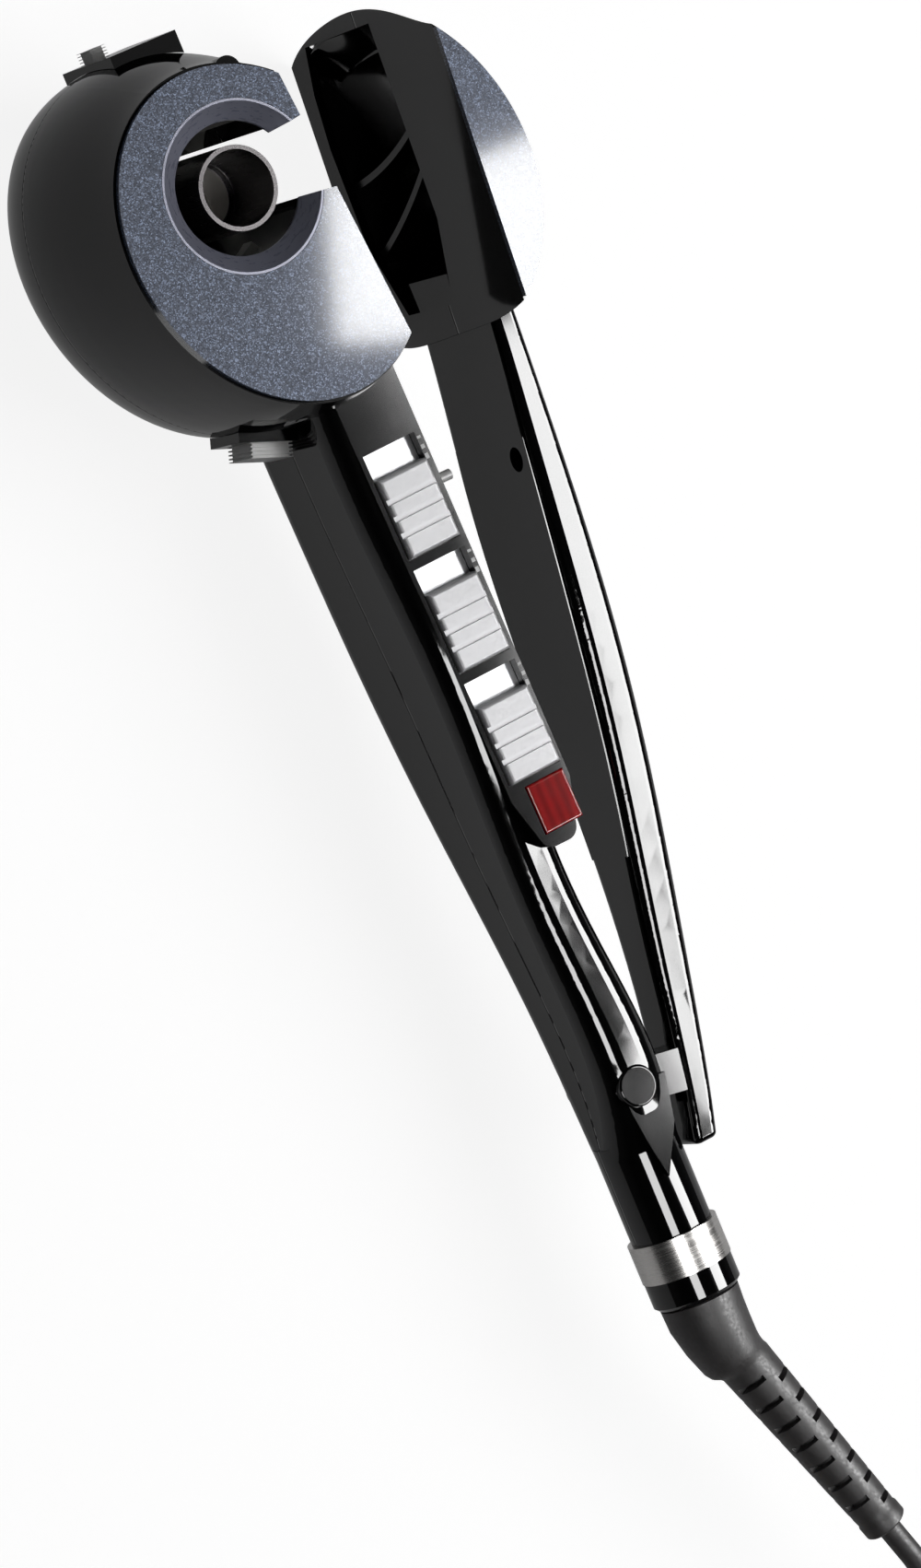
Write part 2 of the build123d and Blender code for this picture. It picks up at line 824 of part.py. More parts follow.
# The handle's cavity: the arm's inside, the console's inside and the neck's bore
with BuildPart() as handle_cavity:
    add(arm_body(arm_station_shares[1:-1], wall))
    split(bisect_by=Plane.XY.offset(console_ceiling), keep=Keep.BOTTOM)
    with BuildSketch(Plane.XY.offset(console_floor_z)):
        add(console_outline())
        offset(amount=-wall, mode=Mode.REPLACE)
    extrude(amount=console_ceiling - console_floor_z)
    with BuildSketch(neck_plane.offset(arm_length)):
        Circle(neck_bore_radius)
    extrude(amount=collar_length)

# Round the hinge: the pin's bore, the caps' recesses and the slot that the lever's lug swings in
with BuildPart() as hinge_cut:
    with BuildSketch(tilted_plane(hinge_x, hinge_y, seam_height - hinge_half_thickness - overrun, 0)):
        Circle(pin_radius + running_clearance)
    extrude(amount=2 * (hinge_half_thickness + overrun))
    with BuildSketch(
        tilted_plane(hinge_x, hinge_y, seam_height + hinge_half_thickness - hinge_cap_thickness, 0)
    ):
        Circle(hinge_cap_radius + fit_clearance)
    extrude(amount=overrun)
    with BuildSketch(
        tilted_plane(hinge_x, hinge_y, seam_height - hinge_half_thickness - overrun, 0)
    ):
        Circle(hinge_cap_radius + fit_clearance)
    extrude(amount=overrun + hinge_cap_thickness)
    with BuildSketch(
        tilted_plane(hinge_x, hinge_y, seam_height - lug_thickness / 2 - lug_slot_margin, 0)
    ):
        Circle(hinge_eye_radius + body_clearance)
        with Locations((arm_span / 2, 0)):
            Rectangle(arm_span, 2 * lug_slot_half_length)
    extrude(amount=lug_thickness + 2 * lug_slot_margin)

# Front half of the handle: it carries the switch panel, the lens and the front hinge cap
with BuildPart() as handle_front_shell:
    add(handle_form.part)
    split(bisect_by=seam_plane, keep=Keep.TOP)
    add(handle_cavity.part, mode=Mode.SUBTRACT)
    with BuildSketch(seam_plane):
        with Locations(*arm_screw_places):
            Circle(screw_boss_radius)
    extrude(amount=console_ceiling - seam_height + fit_clearance)
    with BuildSketch(seam_plane):
        with Locations(*arm_screw_places):
            Circle(screw_radius + fit_clearance)
    extrude(amount=arm_screw_length / 2, mode=Mode.SUBTRACT)
    with BuildSketch(Plane.XY.offset(panel_bottom)):
        add(console_outline())
    extrude(amount=panel_thickness + overrun, mode=Mode.SUBTRACT)
    for number in range(switch_count):
        with BuildSketch(switch_plane(number, console_ceiling)):
            Rectangle(stem_size + 2 * body_clearance, switch_body_length - wall)
        extrude(amount=wall, mode=Mode.SUBTRACT)
    with BuildSketch(Plane.YZ.offset(console_left_near)):
        with Locations((contact_pin_y, contact_pin_height)):
            Circle(contact_pin_radius + fit_clearance)
    extrude(amount=arm_span, mode=Mode.SUBTRACT)
    add(hinge_cut.part, mode=Mode.SUBTRACT)
handle_front_shell.part.label = "handle_front_shell"
export_step(handle_front_shell.part, "parts/handle_front_shell.step")

# Rear half of the handle
with BuildPart() as arm_bosses:
    add(arm_body(arm_station_shares, wall / 2))
    with BuildSketch():
        with Locations(*arm_screw_places):
            Circle(screw_boss_radius)
    extrude(amount=seam_height, mode=Mode.INTERSECT)
with BuildPart() as handle_rear_shell:
    add(handle_form.part)
    split(bisect_by=seam_plane, keep=Keep.BOTTOM)
    add(handle_cavity.part, mode=Mode.SUBTRACT)
    add(arm_bosses.part)
    with BuildSketch():
        with Locations(*arm_screw_places):
            Circle(screw_radius + fit_clearance)
    extrude(amount=seam_height, mode=Mode.SUBTRACT)
    with BuildSketch():
        with Locations(*arm_screw_places):
            Circle(screw_head_radius + fit_clearance)
    extrude(amount=seam_height - arm_screw_length / 2, mode=Mode.SUBTRACT)
    add(hinge_cut.part, mode=Mode.SUBTRACT)
handle_rear_shell.part.label = "handle_rear_shell"
export_step(handle_rear_shell.part, "parts/handle_rear_shell.step")

# Grip strips on the tip and the heel of the drum, each a black base with a finned pad
tip_place = Plane(origin=(tip_strip_x, tip_strip_y, tip_strip_bottom), x_dir=(1, 0, 0))
heel_place = tilted_plane(heel_strip_x, heel_strip_y, heel_strip_bottom, 180 + heel_strip_tilt)
drum_cutter = head_body(-fit_clearance)
with BuildPart() as tip_strip:
    add(strip_base(tip_place, tip_strip_width, tip_strip_top - tip_strip_bottom))
    add(drum_cutter, mode=Mode.SUBTRACT)
tip_strip.part.label = "tip_strip"
export_step(tip_strip.part, "parts/tip_strip.step")

with BuildPart() as heel_strip:
    add(strip_base(heel_place, heel_strip_width, heel_strip_top - heel_strip_bottom))
    add(drum_cutter, mode=Mode.SUBTRACT)
    add(handle_form.part, mode=Mode.SUBTRACT)
heel_strip.part.label = "heel_strip"
export_step(heel_strip.part, "parts/heel_strip.step")

tip_pad_place = Plane(tip_place * Location((tip_pad_shift, 0, tip_pad_bottom - tip_strip_bottom)))
with BuildPart() as tip_pad:
    add(strip_pad(tip_pad_place, tip_pad_width, tip_pad_height, tip_pad_top - tip_pad_bottom))
tip_pad.part.label = "tip_pad"
export_step(tip_pad.part, "parts/tip_pad.step")

heel_pad_place = Plane(heel_place * Location((heel_pad_shift, 0, heel_pad_bottom - heel_strip_bottom)))
with BuildPart() as heel_pad:
    add(strip_pad(heel_pad_place, heel_pad_width, heel_pad_height, heel_pad_top - heel_pad_bottom))
    add(handle_form.part, mode=Mode.SUBTRACT)
heel_pad.part.label = "heel_pad"
export_step(heel_pad.part, "parts/heel_pad.step")

# Switch panel: the raised strip with a window for each switch and one for the lens
with BuildPart() as switch_panel:
    with BuildSketch(Plane.XY.offset(panel_bottom)):
        add(console_outline())
    extrude(amount=panel_thickness)
    add(drum_cutter, mode=Mode.SUBTRACT)
    for number in range(switch_count):
        with BuildSketch(switch_plane(number, console_top - window_depth)):
            Rectangle(window_width, window_length)
        extrude(amount=window_depth, mode=Mode.SUBTRACT)
        with BuildSketch(switch_plane(number, panel_bottom)):
            Rectangle(stem_size + 2 * body_clearance, switch_body_length - wall)
        extrude(amount=panel_thickness, mode=Mode.SUBTRACT)
    with BuildSketch(tilted_plane(lens_x, lens_y, console_top - lens_depth, switch_tilt)):
        Rectangle(lens_width, lens_length)
    extrude(amount=lens_depth, mode=Mode.SUBTRACT)
    with BuildSketch(tilted_plane(lens_x, lens_y, panel_bottom, switch_tilt)):
        Circle(led_radius + fit_clearance)
    extrude(amount=panel_thickness, mode=Mode.SUBTRACT)
switch_panel.part.label = "switch_panel"
export_step(switch_panel.part, "parts/switch_panel.step")

# Bright label strips on the windows' floors, under the sliding caps
with BuildPart() as switch_labels:
    for number in range(switch_count):
        with BuildSketch(switch_plane(number, console_top - window_depth)):
            Rectangle(window_width - 2 * fit_clearance, window_length - 2 * fit_clearance)
            Rectangle(stem_size + 2 * body_clearance, switch_body_length - wall, mode=Mode.SUBTRACT)
        extrude(amount=label_thickness)
switch_labels.part.label = "switch_labels"
export_step(switch_labels.part, "parts/switch_labels.step")

# Sliding caps, drawn at the cord end of their windows, each with ribs and a stem
cap_bottom = console_top - window_depth + cap_lift
cap_thickness = console_top + cap_proud - cap_bottom
cap_shift = -(window_length - cap_length_along) / 2 + body_clearance
for number, cap_name in enumerate(("heat_switch", "time_switch", "direction_switch")):
    with BuildPart() as switch_cap:
        with BuildSketch(switch_plane(number, cap_bottom)):
            with Locations((0, cap_shift)):
                Rectangle(cap_width, cap_length_along)
        extrude(amount=cap_thickness)
        fillet(switch_cap.edges().group_by(Axis.Z)[-1], radius=cap_fillet)
        for groove in range(cap_groove_count):
            along = cap_shift + (groove - (cap_groove_count - 1) / 2) * cap_groove_pitch
            with BuildSketch(switch_plane(number, console_top + cap_proud - cap_groove_depth)):
                with Locations((0, along)):
                    Rectangle(cap_width, cap_groove_width)
            extrude(amount=cap_groove_depth, mode=Mode.SUBTRACT)
        with BuildSketch(switch_plane(number, cap_bottom)):
            with Locations((0, -cap_travel / 2)):
                Rectangle(stem_size, stem_size)
        extrude(amount=-(cap_bottom - console_ceiling) - stem_reach + wall)
    switch_cap.part.label = cap_name
    export_step(switch_cap.part, f"parts/{cap_name}.step")

# Switch bodies under the panel, each with a slot for its cap's stem
with BuildPart() as switch_bodies:
    for number in range(switch_count):
        with BuildSketch(switch_plane(number, board_top)):
            Rectangle(switch_body_width, switch_body_length)
        extrude(amount=switch_body_height)
        with BuildSketch(switch_plane(number, console_ceiling)):
            Rectangle(stem_size + 2 * body_clearance, switch_body_length - wall)
        extrude(amount=-stem_reach, mode=Mode.SUBTRACT)
switch_bodies.part.label = "switch_bodies"
export_step(switch_bodies.part, "parts/switch_bodies.step")

# Circuit board under the switch bodies, with the beeper hung below it
with BuildPart() as circuit_board:
    with BuildSketch(tilted_plane(board_x, board_y, board_top, switch_tilt)):
        Rectangle(board_width, board_length)
    extrude(amount=-board_thickness)
circuit_board.part.label = "circuit_board"
export_step(circuit_board.part, "parts/circuit_board.step")

with BuildPart() as buzzer:
    with BuildSketch(tilted_plane(board_x, board_y, board_top - board_thickness, switch_tilt)):
        Circle(buzzer_radius)
    extrude(amount=-buzzer_height)
buzzer.part.label = "buzzer"
export_step(buzzer.part, "parts/buzzer.step")

# Indicator lens in its window and the lamp behind it
with BuildPart() as indicator_lens:
    with BuildSketch(tilted_plane(lens_x, lens_y, console_top - lens_depth, switch_tilt)):
        Rectangle(lens_width - 2 * fit_clearance, lens_length - 2 * fit_clearance)
    extrude(amount=lens_depth + lens_proud)
    fillet(indicator_lens.edges().group_by(Axis.Z)[-1], radius=lens_proud)
indicator_lens.part.label = "indicator_lens"
export_step(indicator_lens.part, "parts/indicator_lens.step")

with BuildPart() as indicator_lamp:
    with BuildSketch(tilted_plane(lens_x, lens_y, panel_bottom, 0)):
        Circle(led_radius)
    extrude(amount=panel_thickness - lens_depth - fit_clearance)
indicator_lamp.part.label = "indicator_lamp"
export_step(indicator_lamp.part, "parts/indicator_lamp.step")

# Contact pin: it stands out of the console's side and enters the lever when the jaw shuts
contact_wall = console_right_near - wall
with BuildPart() as contact_pin:
    with BuildSketch(Plane.YZ.offset(contact_wall)):
        with Locations((contact_pin_y, contact_pin_height)):
            Circle(contact_pin_radius)
    extrude(amount=contact_pin_tip - contact_wall)
    with BuildSketch(Plane.YZ.offset(contact_wall)):
        with Locations((contact_pin_y, contact_pin_height)):
            Circle(contact_pin_flange_radius)
    extrude(amount=-contact_pin_flange)
contact_pin.part.label = "contact_pin"
export_step(contact_pin.part, "parts/contact_pin.step")

# Terminal block at the handle's lower end
terminal_bottom = seam_height - terminal_height
with BuildPart() as terminal_block:
    with BuildSketch(tilted_plane(terminal_x, terminal_y, terminal_bottom, 0)):
        Rectangle(terminal_width, terminal_length)
    extrude(amount=2 * terminal_height)
terminal_block.part.label = "terminal_block"
export_step(terminal_block.part, "parts/terminal_block.step")

# Hinge pin, its two caps and the spring that holds the jaw open
pin_bottom = seam_height - hinge_half_thickness + hinge_cap_thickness
pin_top = seam_height + hinge_half_thickness - hinge_cap_thickness
with BuildPart() as hinge_pin:
    with BuildSketch(tilted_plane(hinge_x, hinge_y, pin_bottom, 0)):
        Circle(pin_radius)
    extrude(amount=pin_top - pin_bottom)
hinge_pin.part.label = "hinge_pin"
export_step(hinge_pin.part, "parts/hinge_pin.step")

with BuildPart() as hinge_cap_front:
    with BuildSketch(tilted_plane(hinge_x, hinge_y, pin_top, 0)):
        Circle(hinge_cap_radius)
    extrude(amount=hinge_cap_thickness + hinge_cap_proud)
    fillet(hinge_cap_front.edges().group_by(Axis.Z)[-1], radius=hinge_cap_proud)
hinge_cap_front.part.label = "hinge_cap_front"
export_step(hinge_cap_front.part, "parts/hinge_cap_front.step")

with BuildPart() as hinge_cap_rear:
    with BuildSketch(tilted_plane(hinge_x, hinge_y, pin_bottom, 0)):
        Circle(hinge_cap_radius)
    extrude(amount=-hinge_cap_thickness - hinge_cap_proud)
    fillet(hinge_cap_rear.edges().group_by(Axis.Z)[0], radius=hinge_cap_proud)
hinge_cap_rear.part.label = "hinge_cap_rear"
export_step(hinge_cap_rear.part, "parts/hinge_cap_rear.step")

with BuildPart() as torsion_spring:
    with BuildSketch(tilted_plane(hinge_x, hinge_y, seam_height + lug_thickness / 2, 0)):
        Circle(spring_outer_radius)
        Circle(spring_outer_radius - spring_thickness, mode=Mode.SUBTRACT)
    extrude(amount=-spring_length)
torsion_spring.part.label = "torsion_spring"
export_step(torsion_spring.part, "parts/torsion_spring.step")

# Screws of the fixed side, from the back
with BuildPart() as shell_screws:
    with BuildSketch():
        with Locations(*head_screw_places):
            Circle(screw_head_radius)
    extrude(amount=screw_head_height)
    with BuildSketch():
        with Locations(*head_screw_places):
            Circle(screw_radius)
    extrude(amount=head_screw_length)
    with BuildSketch(Plane.XY.offset(seam_height - arm_screw_length / 2 - screw_head_height)):
        with Locations(*arm_screw_places):
            Circle(screw_head_radius)
    extrude(amount=screw_head_height)
    with BuildSketch(Plane.XY.offset(seam_height - arm_screw_length / 2)):
        with Locations(*arm_screw_places):
            Circle(screw_radius)
    extrude(amount=arm_screw_length - overrun)
shell_screws.part.label = "shell_screws"
export_step(shell_screws.part, "parts/shell_screws.step")

# Steel collar and end cap round the neck's end
with BuildPart() as collar_ring:
    with BuildSketch(neck_plane.offset(arm_length)):
        Circle(collar_radius)
        Circle(collar_radius - collar_thickness, mode=Mode.SUBTRACT)
    extrude(amount=collar_length)
collar_ring.part.label = "collar_ring"
export_step(collar_ring.part, "parts/collar_ring.step")

with BuildPart() as end_cap:
    with BuildSketch(neck_plane.offset(collar_end)):
        Circle(cap_radius)
    extrude(amount=cap_length)
    chamfer(end_cap.edges().group_by(Axis.Y)[0], length=cap_chamfer)
    with BuildSketch(neck_plane.offset(collar_end)):
        Circle(sleeve_radius + running_clearance)
    extrude(amount=cap_length, mode=Mode.SUBTRACT)
end_cap.part.label = "end_cap"
export_step(end_cap.part, "parts/end_cap.step")

# Jaw: the part of the head beyond the chord, hollow and open towards the barrel
with BuildPart() as jaw_cavity:
    add(head_body(wall))
    split(bisect_by=jaw_plane.offset(wall), keep=Keep.TOP)

with BuildPart() as jaw_form:
    add(head_body(0))
    split(bisect_by=jaw_plane, keep=Keep.TOP)
    add(jaw_cavity.part, mode=Mode.SUBTRACT)
    with BuildSketch(Plane.YZ.offset(chord_distance + jaw_gap)):
        with BuildLine():
            mouth_points = [(along * head_half_length, up * head_depth) for along, up in jaw_mouth_shares]
            Polyline(*mouth_points, close=True)
        make_face()
    extrude(amount=overrun, both=True, mode=Mode.SUBTRACT)

with BuildPart() as jaw_front_shell:
    add(jaw_form.part)
    split(bisect_by=seam_plane, keep=Keep.TOP)

with BuildPart() as jaw_rear_shell:
    add(jaw_form.part)
    split(bisect_by=seam_plane, keep=Keep.BOTTOM)
    with BuildSketch():
        with Locations(*jaw_screw_places):
            Circle(screw_radius + fit_clearance)
    extrude(amount=cavity_floor, mode=Mode.SUBTRACT)
    with BuildSketch():
        with Locations(*jaw_screw_places):
            Circle(screw_head_radius + fit_clearance)
    extrude(amount=screw_head_height / 2, mode=Mode.SUBTRACT)

with BuildPart() as jaw_face_plate:
    with BuildSketch(oval_plane(face_shift_x, face_shift_y, housing_top)):
        Ellipse(face_half_width, face_half_length)
    extrude(amount=face_thickness)
    split(bisect_by=jaw_plane, keep=Keep.TOP)

# Liner of the jaw's cavity: a floor with two curved ribs that lead the hair towards the barrel
liner_base = cavity_floor - jaw_floor_thickness
with BuildPart() as jaw_liner:
    with BuildSketch(Plane.XY.offset(liner_base)):
        Rectangle(4 * head_half_width, 4 * head_half_length)
    extrude(amount=jaw_floor_thickness)
    with BuildSketch(Plane.YZ):
        for rib_shares in jaw_rib_shares:
            with BuildLine() as rib_line:
                rib_points = [(along * head_half_length, up * head_depth) for along, up in rib_shares]
                ThreePointArc(*rib_points)
            trace(line_width=rib_width)
    extrude(amount=2 * head_half_width)
    with BuildSketch():
        with Locations(*jaw_screw_places):
            Circle(screw_boss_radius)
    extrude(amount=liner_base)
    add(head_body(wall + fit_clearance), mode=Mode.INTERSECT)
    split(bisect_by=jaw_plane.offset(wall + fit_clearance), keep=Keep.TOP)
    with BuildSketch():
        with Locations(*jaw_screw_places):
            Circle(screw_radius + fit_clearance)
    extrude(amount=jaw_screw_length + fit_clearance, mode=Mode.SUBTRACT)

with BuildPart() as jaw_screws:
    with BuildSketch():
        with Locations(*jaw_screw_places):
            Circle(screw_head_radius)
    extrude(amount=screw_head_height / 2)
    with BuildSketch():
        with Locations(*jaw_screw_places):
            Circle(screw_radius)
    extrude(amount=jaw_screw_length)

# Lever: a hollow moulding that carries the jaw and ends in the hinge's lug
with BuildPart() as lever_shell:
    add(arm_body(lever_station_shares, 0))
    split(bisect_by=lever_end_plane, keep=Keep.TOP)
    fillet(lever_shell.faces().sort_by(Axis.Y)[0].edges(), radius=lever_end_fillet)
    add(channel_body(lever_station_shares[1:-2], -overrun, lever_wall, lever_wall), mode=Mode.SUBTRACT)
    with BuildSketch(tilted_plane(hinge_x, hinge_y, seam_height - lug_thickness / 2, 0)):
        Circle(hinge_eye_radius)
        with Locations(((lug_reach - hinge_x) / 2, 0)):
            Rectangle(lug_reach - hinge_x, lug_width)
    extrude(amount=lug_thickness)
    with BuildSketch(tilted_plane(hinge_x, hinge_y, seam_height - lug_thickness / 2, 0)):
        Circle(pin_radius + running_clearance)
    extrude(amount=lug_thickness, mode=Mode.SUBTRACT)
    with BuildSketch(tilted_plane(hinge_x, hinge_y, seam_height + lug_thickness / 2, 0)):
        Circle(spring_well_radius)
    extrude(amount=-spring_length - body_clearance, mode=Mode.SUBTRACT)
    add(head_body(-fit_clearance), mode=Mode.SUBTRACT)

# Inner cover of the lever, with a hole that the contact pin enters
with BuildPart() as lever_cover:
    add(channel_body(lever_station_shares[1:-2], 0, None, lever_wall + fit_clearance))
    with BuildSketch(Plane.YZ):
        with Locations((contact_pin_y, contact_pin_height)):
            Circle(contact_pin_radius + contact_pin_relief)
    extrude(amount=2 * arm_span, mode=Mode.SUBTRACT)

# The lever and the jaw are drawn shut, and stand open about the hinge
lever_pieces = {
    "jaw_front_shell": jaw_front_shell,
    "jaw_rear_shell": jaw_rear_shell,
    "jaw_face_plate": jaw_face_plate,
    "jaw_liner": jaw_liner,
    "jaw_screws": jaw_screws,
    "lever_shell": lever_shell,
    "lever_cover": lever_cover,
}
for piece_name, shut_piece in lever_pieces.items():
    with BuildPart() as open_piece:
        add(shut_piece.part.rotate(hinge_axis, -open_angle))
    open_piece.part.label = piece_name
    export_step(open_piece.part, f"parts/{piece_name}.step")

# Swivel sleeve: it turns in the end cap and is held behind it by its flange
with BuildPart() as swivel_sleeve:
    with BuildSketch(neck_plane.offset(collar_end - body_clearance - sleeve_flange)):
        Circle(sleeve_flange_radius)
    extrude(amount=sleeve_flange)
    with BuildSketch(neck_plane.offset(collar_end - body_clearance)):
        Circle(sleeve_radius)
    extrude(amount=boot_start - collar_end + body_clearance)
swivel_sleeve.part.label = "swivel_sleeve"
export_step(swivel_sleeve.part, "parts/swivel_sleeve.step")

# Rubber strain relief: a round root, a bend and a slotted taper
boot_direction = (sin(radians(boot_bend)), -cos(radians(boot_bend)), 0)
bend_y = -boot_start - boot_root_length
boot_plane = Plane(origin=(neck_x, bend_y, seam_height), x_dir=(0, 0, 1), z_dir=boot_direction)
with BuildPart() as strain_relief:
    with BuildSketch(neck_plane.offset(boot_start)):
        Circle(boot_root_radius)
    extrude(amount=boot_root_length)
    chamfer(strain_relief.edges().group_by(Axis.Y)[-1], length=cap_chamfer)
    with BuildSketch(Plane(origin=(neck_x, bend_y, seam_height))):
        Circle(boot_root_radius)
        with Locations((-boot_root_radius, 0)):
            Rectangle(2 * boot_root_radius, 4 * boot_root_radius, mode=Mode.SUBTRACT)
    revolve(axis=Axis((neck_x, bend_y, seam_height), (0, 1, 0)))
    split(bisect_by=neck_plane.offset(boot_start), keep=Keep.TOP)
    for station in boot_station_shares:
        with BuildSketch(boot_plane.offset(station[0] * boot_length)):
            Circle(station[1] * boot_root_radius)
    loft(ruled=True)
    with BuildSketch(boot_plane.offset(boot_length - boot_ring_length)):
        Circle(boot_ring_radius)
    extrude(amount=boot_ring_length)
    for number in range(boot_slot_count):
        with BuildSketch(boot_plane.offset(boot_slot_start + number * boot_slot_pitch)):
            Circle(boot_root_radius)
            Circle(boot_core_radius, mode=Mode.SUBTRACT)
            if number % 2:
                Rectangle(boot_web, 2 * boot_root_radius, mode=Mode.SUBTRACT)
            else:
                Rectangle(2 * boot_root_radius, boot_web, mode=Mode.SUBTRACT)
        extrude(amount=boot_slot_width, mode=Mode.SUBTRACT)
strain_relief.part.label = "strain_relief"
export_step(strain_relief.part, "parts/strain_relief.step")

# Free stretch of the cord, from the strain relief down to the surface and into the coil
boot_end = boot_plane.offset(boot_length).origin
cord_route = (
    (boot_end.X, boot_end.Y, boot_end.Z),
    (boot_end.X + 6.7, boot_end.Y - 18.9, boot_end.Z),
    (54.0, -364.0, 16.0),
    (61.0, -392.0, 2.7),
    (64.0, -420.0, 2.7),
    (64.0, -435.0, 2.7),
)
cord_points = [Vector(*point) for point in cord_route]
cord_radii = []
for before, point, after in zip(cord_points, cord_points[1:], cord_points[2:]):
    turn = (point - before).get_angle(after - point)
    shorter = min((point - before).length, (after - point).length)
    cord_radii.append(0.45 * shorter / tan(radians(turn / 2)))
print("cord radii", [round(radius, 1) for radius in cord_radii])
with BuildPart() as cord:
    with BuildLine() as cord_line:
        FilletPolyline(*cord_points, radius=cord_radii)
    with BuildSketch(Plane(origin=cord_points[0], z_dir=cord_points[1] - cord_points[0])):
        Circle(cord_radius)
    sweep()
cord.part.label = "cord"
export_step(cord.part, "parts/cord.step")
cord_length = sum(edge.length for edge in cord_line.edges())
print("cord length", round(cord_length, 1))
print("cord volume share", round(cord.part.volume / (pi * cord_radius**2 * cord_length), 4))

# Coil: the cord spirals in over one layer, climbs half a turn and spirals out over the next
coil_start = cord_points[-1]
turn_radii = [coil_radius - number * coil_pitch / 2 for number in range(2 * coil_turns)]
climb_radius = coil_radius - coil_turns * coil_pitch
climb_reach = sqrt(climb_radius**2 + (coil_pitch / 2) ** 2)
with BuildLine() as coil_line:
    coil_end = Line(coil_start, coil_start - Vector(0, 2 * cord_radius, 0)) @ 1
    side = 1
    for radius in turn_radii:
        coil_middle = coil_end - Vector(side * radius, side * radius, 0)
        coil_end = ThreePointArc(coil_end, coil_middle, coil_end - Vector(2 * side * radius, 0, 0)) @ 1
        side = -side
    coil_middle = coil_end - Vector(side * climb_radius, side * climb_reach, -coil_pitch / 2)
    climb_start = TangentArc(coil_end, coil_middle, tangent=(0, -side, 0))
    climb_top = coil_end - Vector(2 * side * climb_radius, 0, -coil_pitch)
    coil_end = TangentArc(coil_middle, climb_top, tangent=climb_start % 1) @ 1
    side = -side
    for radius in reversed(turn_radii):
        coil_middle = coil_end - Vector(side * radius, side * radius, 0)
        coil_end = ThreePointArc(coil_end, coil_middle, coil_end - Vector(2 * side * radius, 0, 0)) @ 1
        side = -side
    tail_end = Line(coil_end, coil_end + Vector(0, coil_tail, 0)) @ 1
with BuildPart() as cord_coil:
    add(coil_line.line)
    with BuildSketch(Plane(origin=coil_start, z_dir=(0, -1, 0))) as coil_section:
        RegularPolygon(cord_radius, side_count=coil_sides)
    sweep()
cord_coil.part.label = "cord_coil"
export_step(cord_coil.part, "parts/cord_coil.step")

# The coil's least gap to itself, between points more than a quarter of a turn apart
coil_points = []
coil_places = []
coil_length = 0
for edge in coil_line.edges():
    for step in range(12):
        coil_points.append(edge @ (step / 12))
        coil_places.append(coil_length + edge.length * step / 12)
    coil_length += edge.length
coil_gap = min(
    (point - other).length - 2 * cord_radius
    for point, place in zip(coil_points, coil_places)
    for other, other_place in zip(coil_points, coil_places)
    if other_place - place > climb_radius * pi / 2
)
print("coil length", round(coil_length, 1), "least gap", round(coil_gap, 2))
print("coil volume share", round(cord_coil.part.volume / (coil_section.sketch.area * coil_length), 4))

# Two-pin plug at the coil's end
plug_plane = Plane(origin=tail_end, x_dir=(-1, 0, 0), z_dir=(0, 1, 0))
with BuildPart() as plug_body:
    with BuildSketch(plug_plane):
        Circle(plug_neck_radius)
    extrude(amount=plug_neck_length)
    with BuildSketch(plug_plane.offset(plug_neck_length)):
        RectangleRounded(plug_width, plug_thickness, plug_corner)
    extrude(amount=plug_length)
    with BuildSketch(plug_plane.offset(plug_neck_length + plug_length - plug_pin_radius)):
        with Locations((-plug_pin_spacing / 2, 0), (plug_pin_spacing / 2, 0)):
            Circle(plug_pin_radius)
    extrude(amount=plug_pin_radius, mode=Mode.SUBTRACT)
plug_body.part.label = "plug_body"
export_step(plug_body.part, "parts/plug_body.step")

with BuildPart() as plug_pins:
    with BuildSketch(plug_plane.offset(plug_neck_length + plug_length - plug_pin_radius)):
        with Locations((-plug_pin_spacing / 2, 0), (plug_pin_spacing / 2, 0)):
            Circle(plug_pin_radius)
    extrude(amount=plug_pin_radius + plug_pin_length)
plug_pins.part.label = "plug_pins"
export_step(plug_pins.part, "parts/plug_pins.step")
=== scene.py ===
from math import cos, pi, radians, sin

import bmesh
import bpy
from mathutils import Matrix, Vector


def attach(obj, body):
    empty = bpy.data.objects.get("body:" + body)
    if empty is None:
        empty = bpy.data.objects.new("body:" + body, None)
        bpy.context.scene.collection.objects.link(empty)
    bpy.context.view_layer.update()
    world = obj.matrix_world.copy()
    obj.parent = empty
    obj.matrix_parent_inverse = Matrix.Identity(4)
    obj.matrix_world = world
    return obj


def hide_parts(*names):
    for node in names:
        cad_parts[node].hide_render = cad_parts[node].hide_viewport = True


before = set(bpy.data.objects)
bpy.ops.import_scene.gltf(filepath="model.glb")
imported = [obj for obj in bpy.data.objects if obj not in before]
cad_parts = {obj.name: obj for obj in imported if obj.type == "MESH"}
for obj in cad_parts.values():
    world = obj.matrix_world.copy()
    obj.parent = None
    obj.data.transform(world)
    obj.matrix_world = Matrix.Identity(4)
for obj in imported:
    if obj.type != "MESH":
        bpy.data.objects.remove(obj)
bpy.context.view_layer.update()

# Camera: the curler is seen from the front left of its head through a long lens, lying with its cord end
# towards the lower right corner of an upright picture.
camera_data = bpy.data.cameras.new("camera")
camera_data.sensor_fit = "VERTICAL"
camera_data.sensor_height = 36
camera_data.lens = 169.2
camera_data.clip_start = 0.05
camera_data.clip_end = 60
camera_data.dof.use_dof = False
camera = bpy.data.objects.new("camera", camera_data)
bpy.context.scene.collection.objects.link(camera)
camera_spot = (-0.6527, 0.0637, 1.4026)
camera_right = Vector((0.8100, -0.3795, 0.4470)).normalized()
camera_back = Vector((-0.4323, 0.1285, 0.8925)).normalized()
camera_up = camera_back.cross(camera_right).normalized()
camera_right = camera_up.cross(camera_back)
camera_turn = Matrix((camera_right, camera_up, camera_back)).transposed().to_4x4()
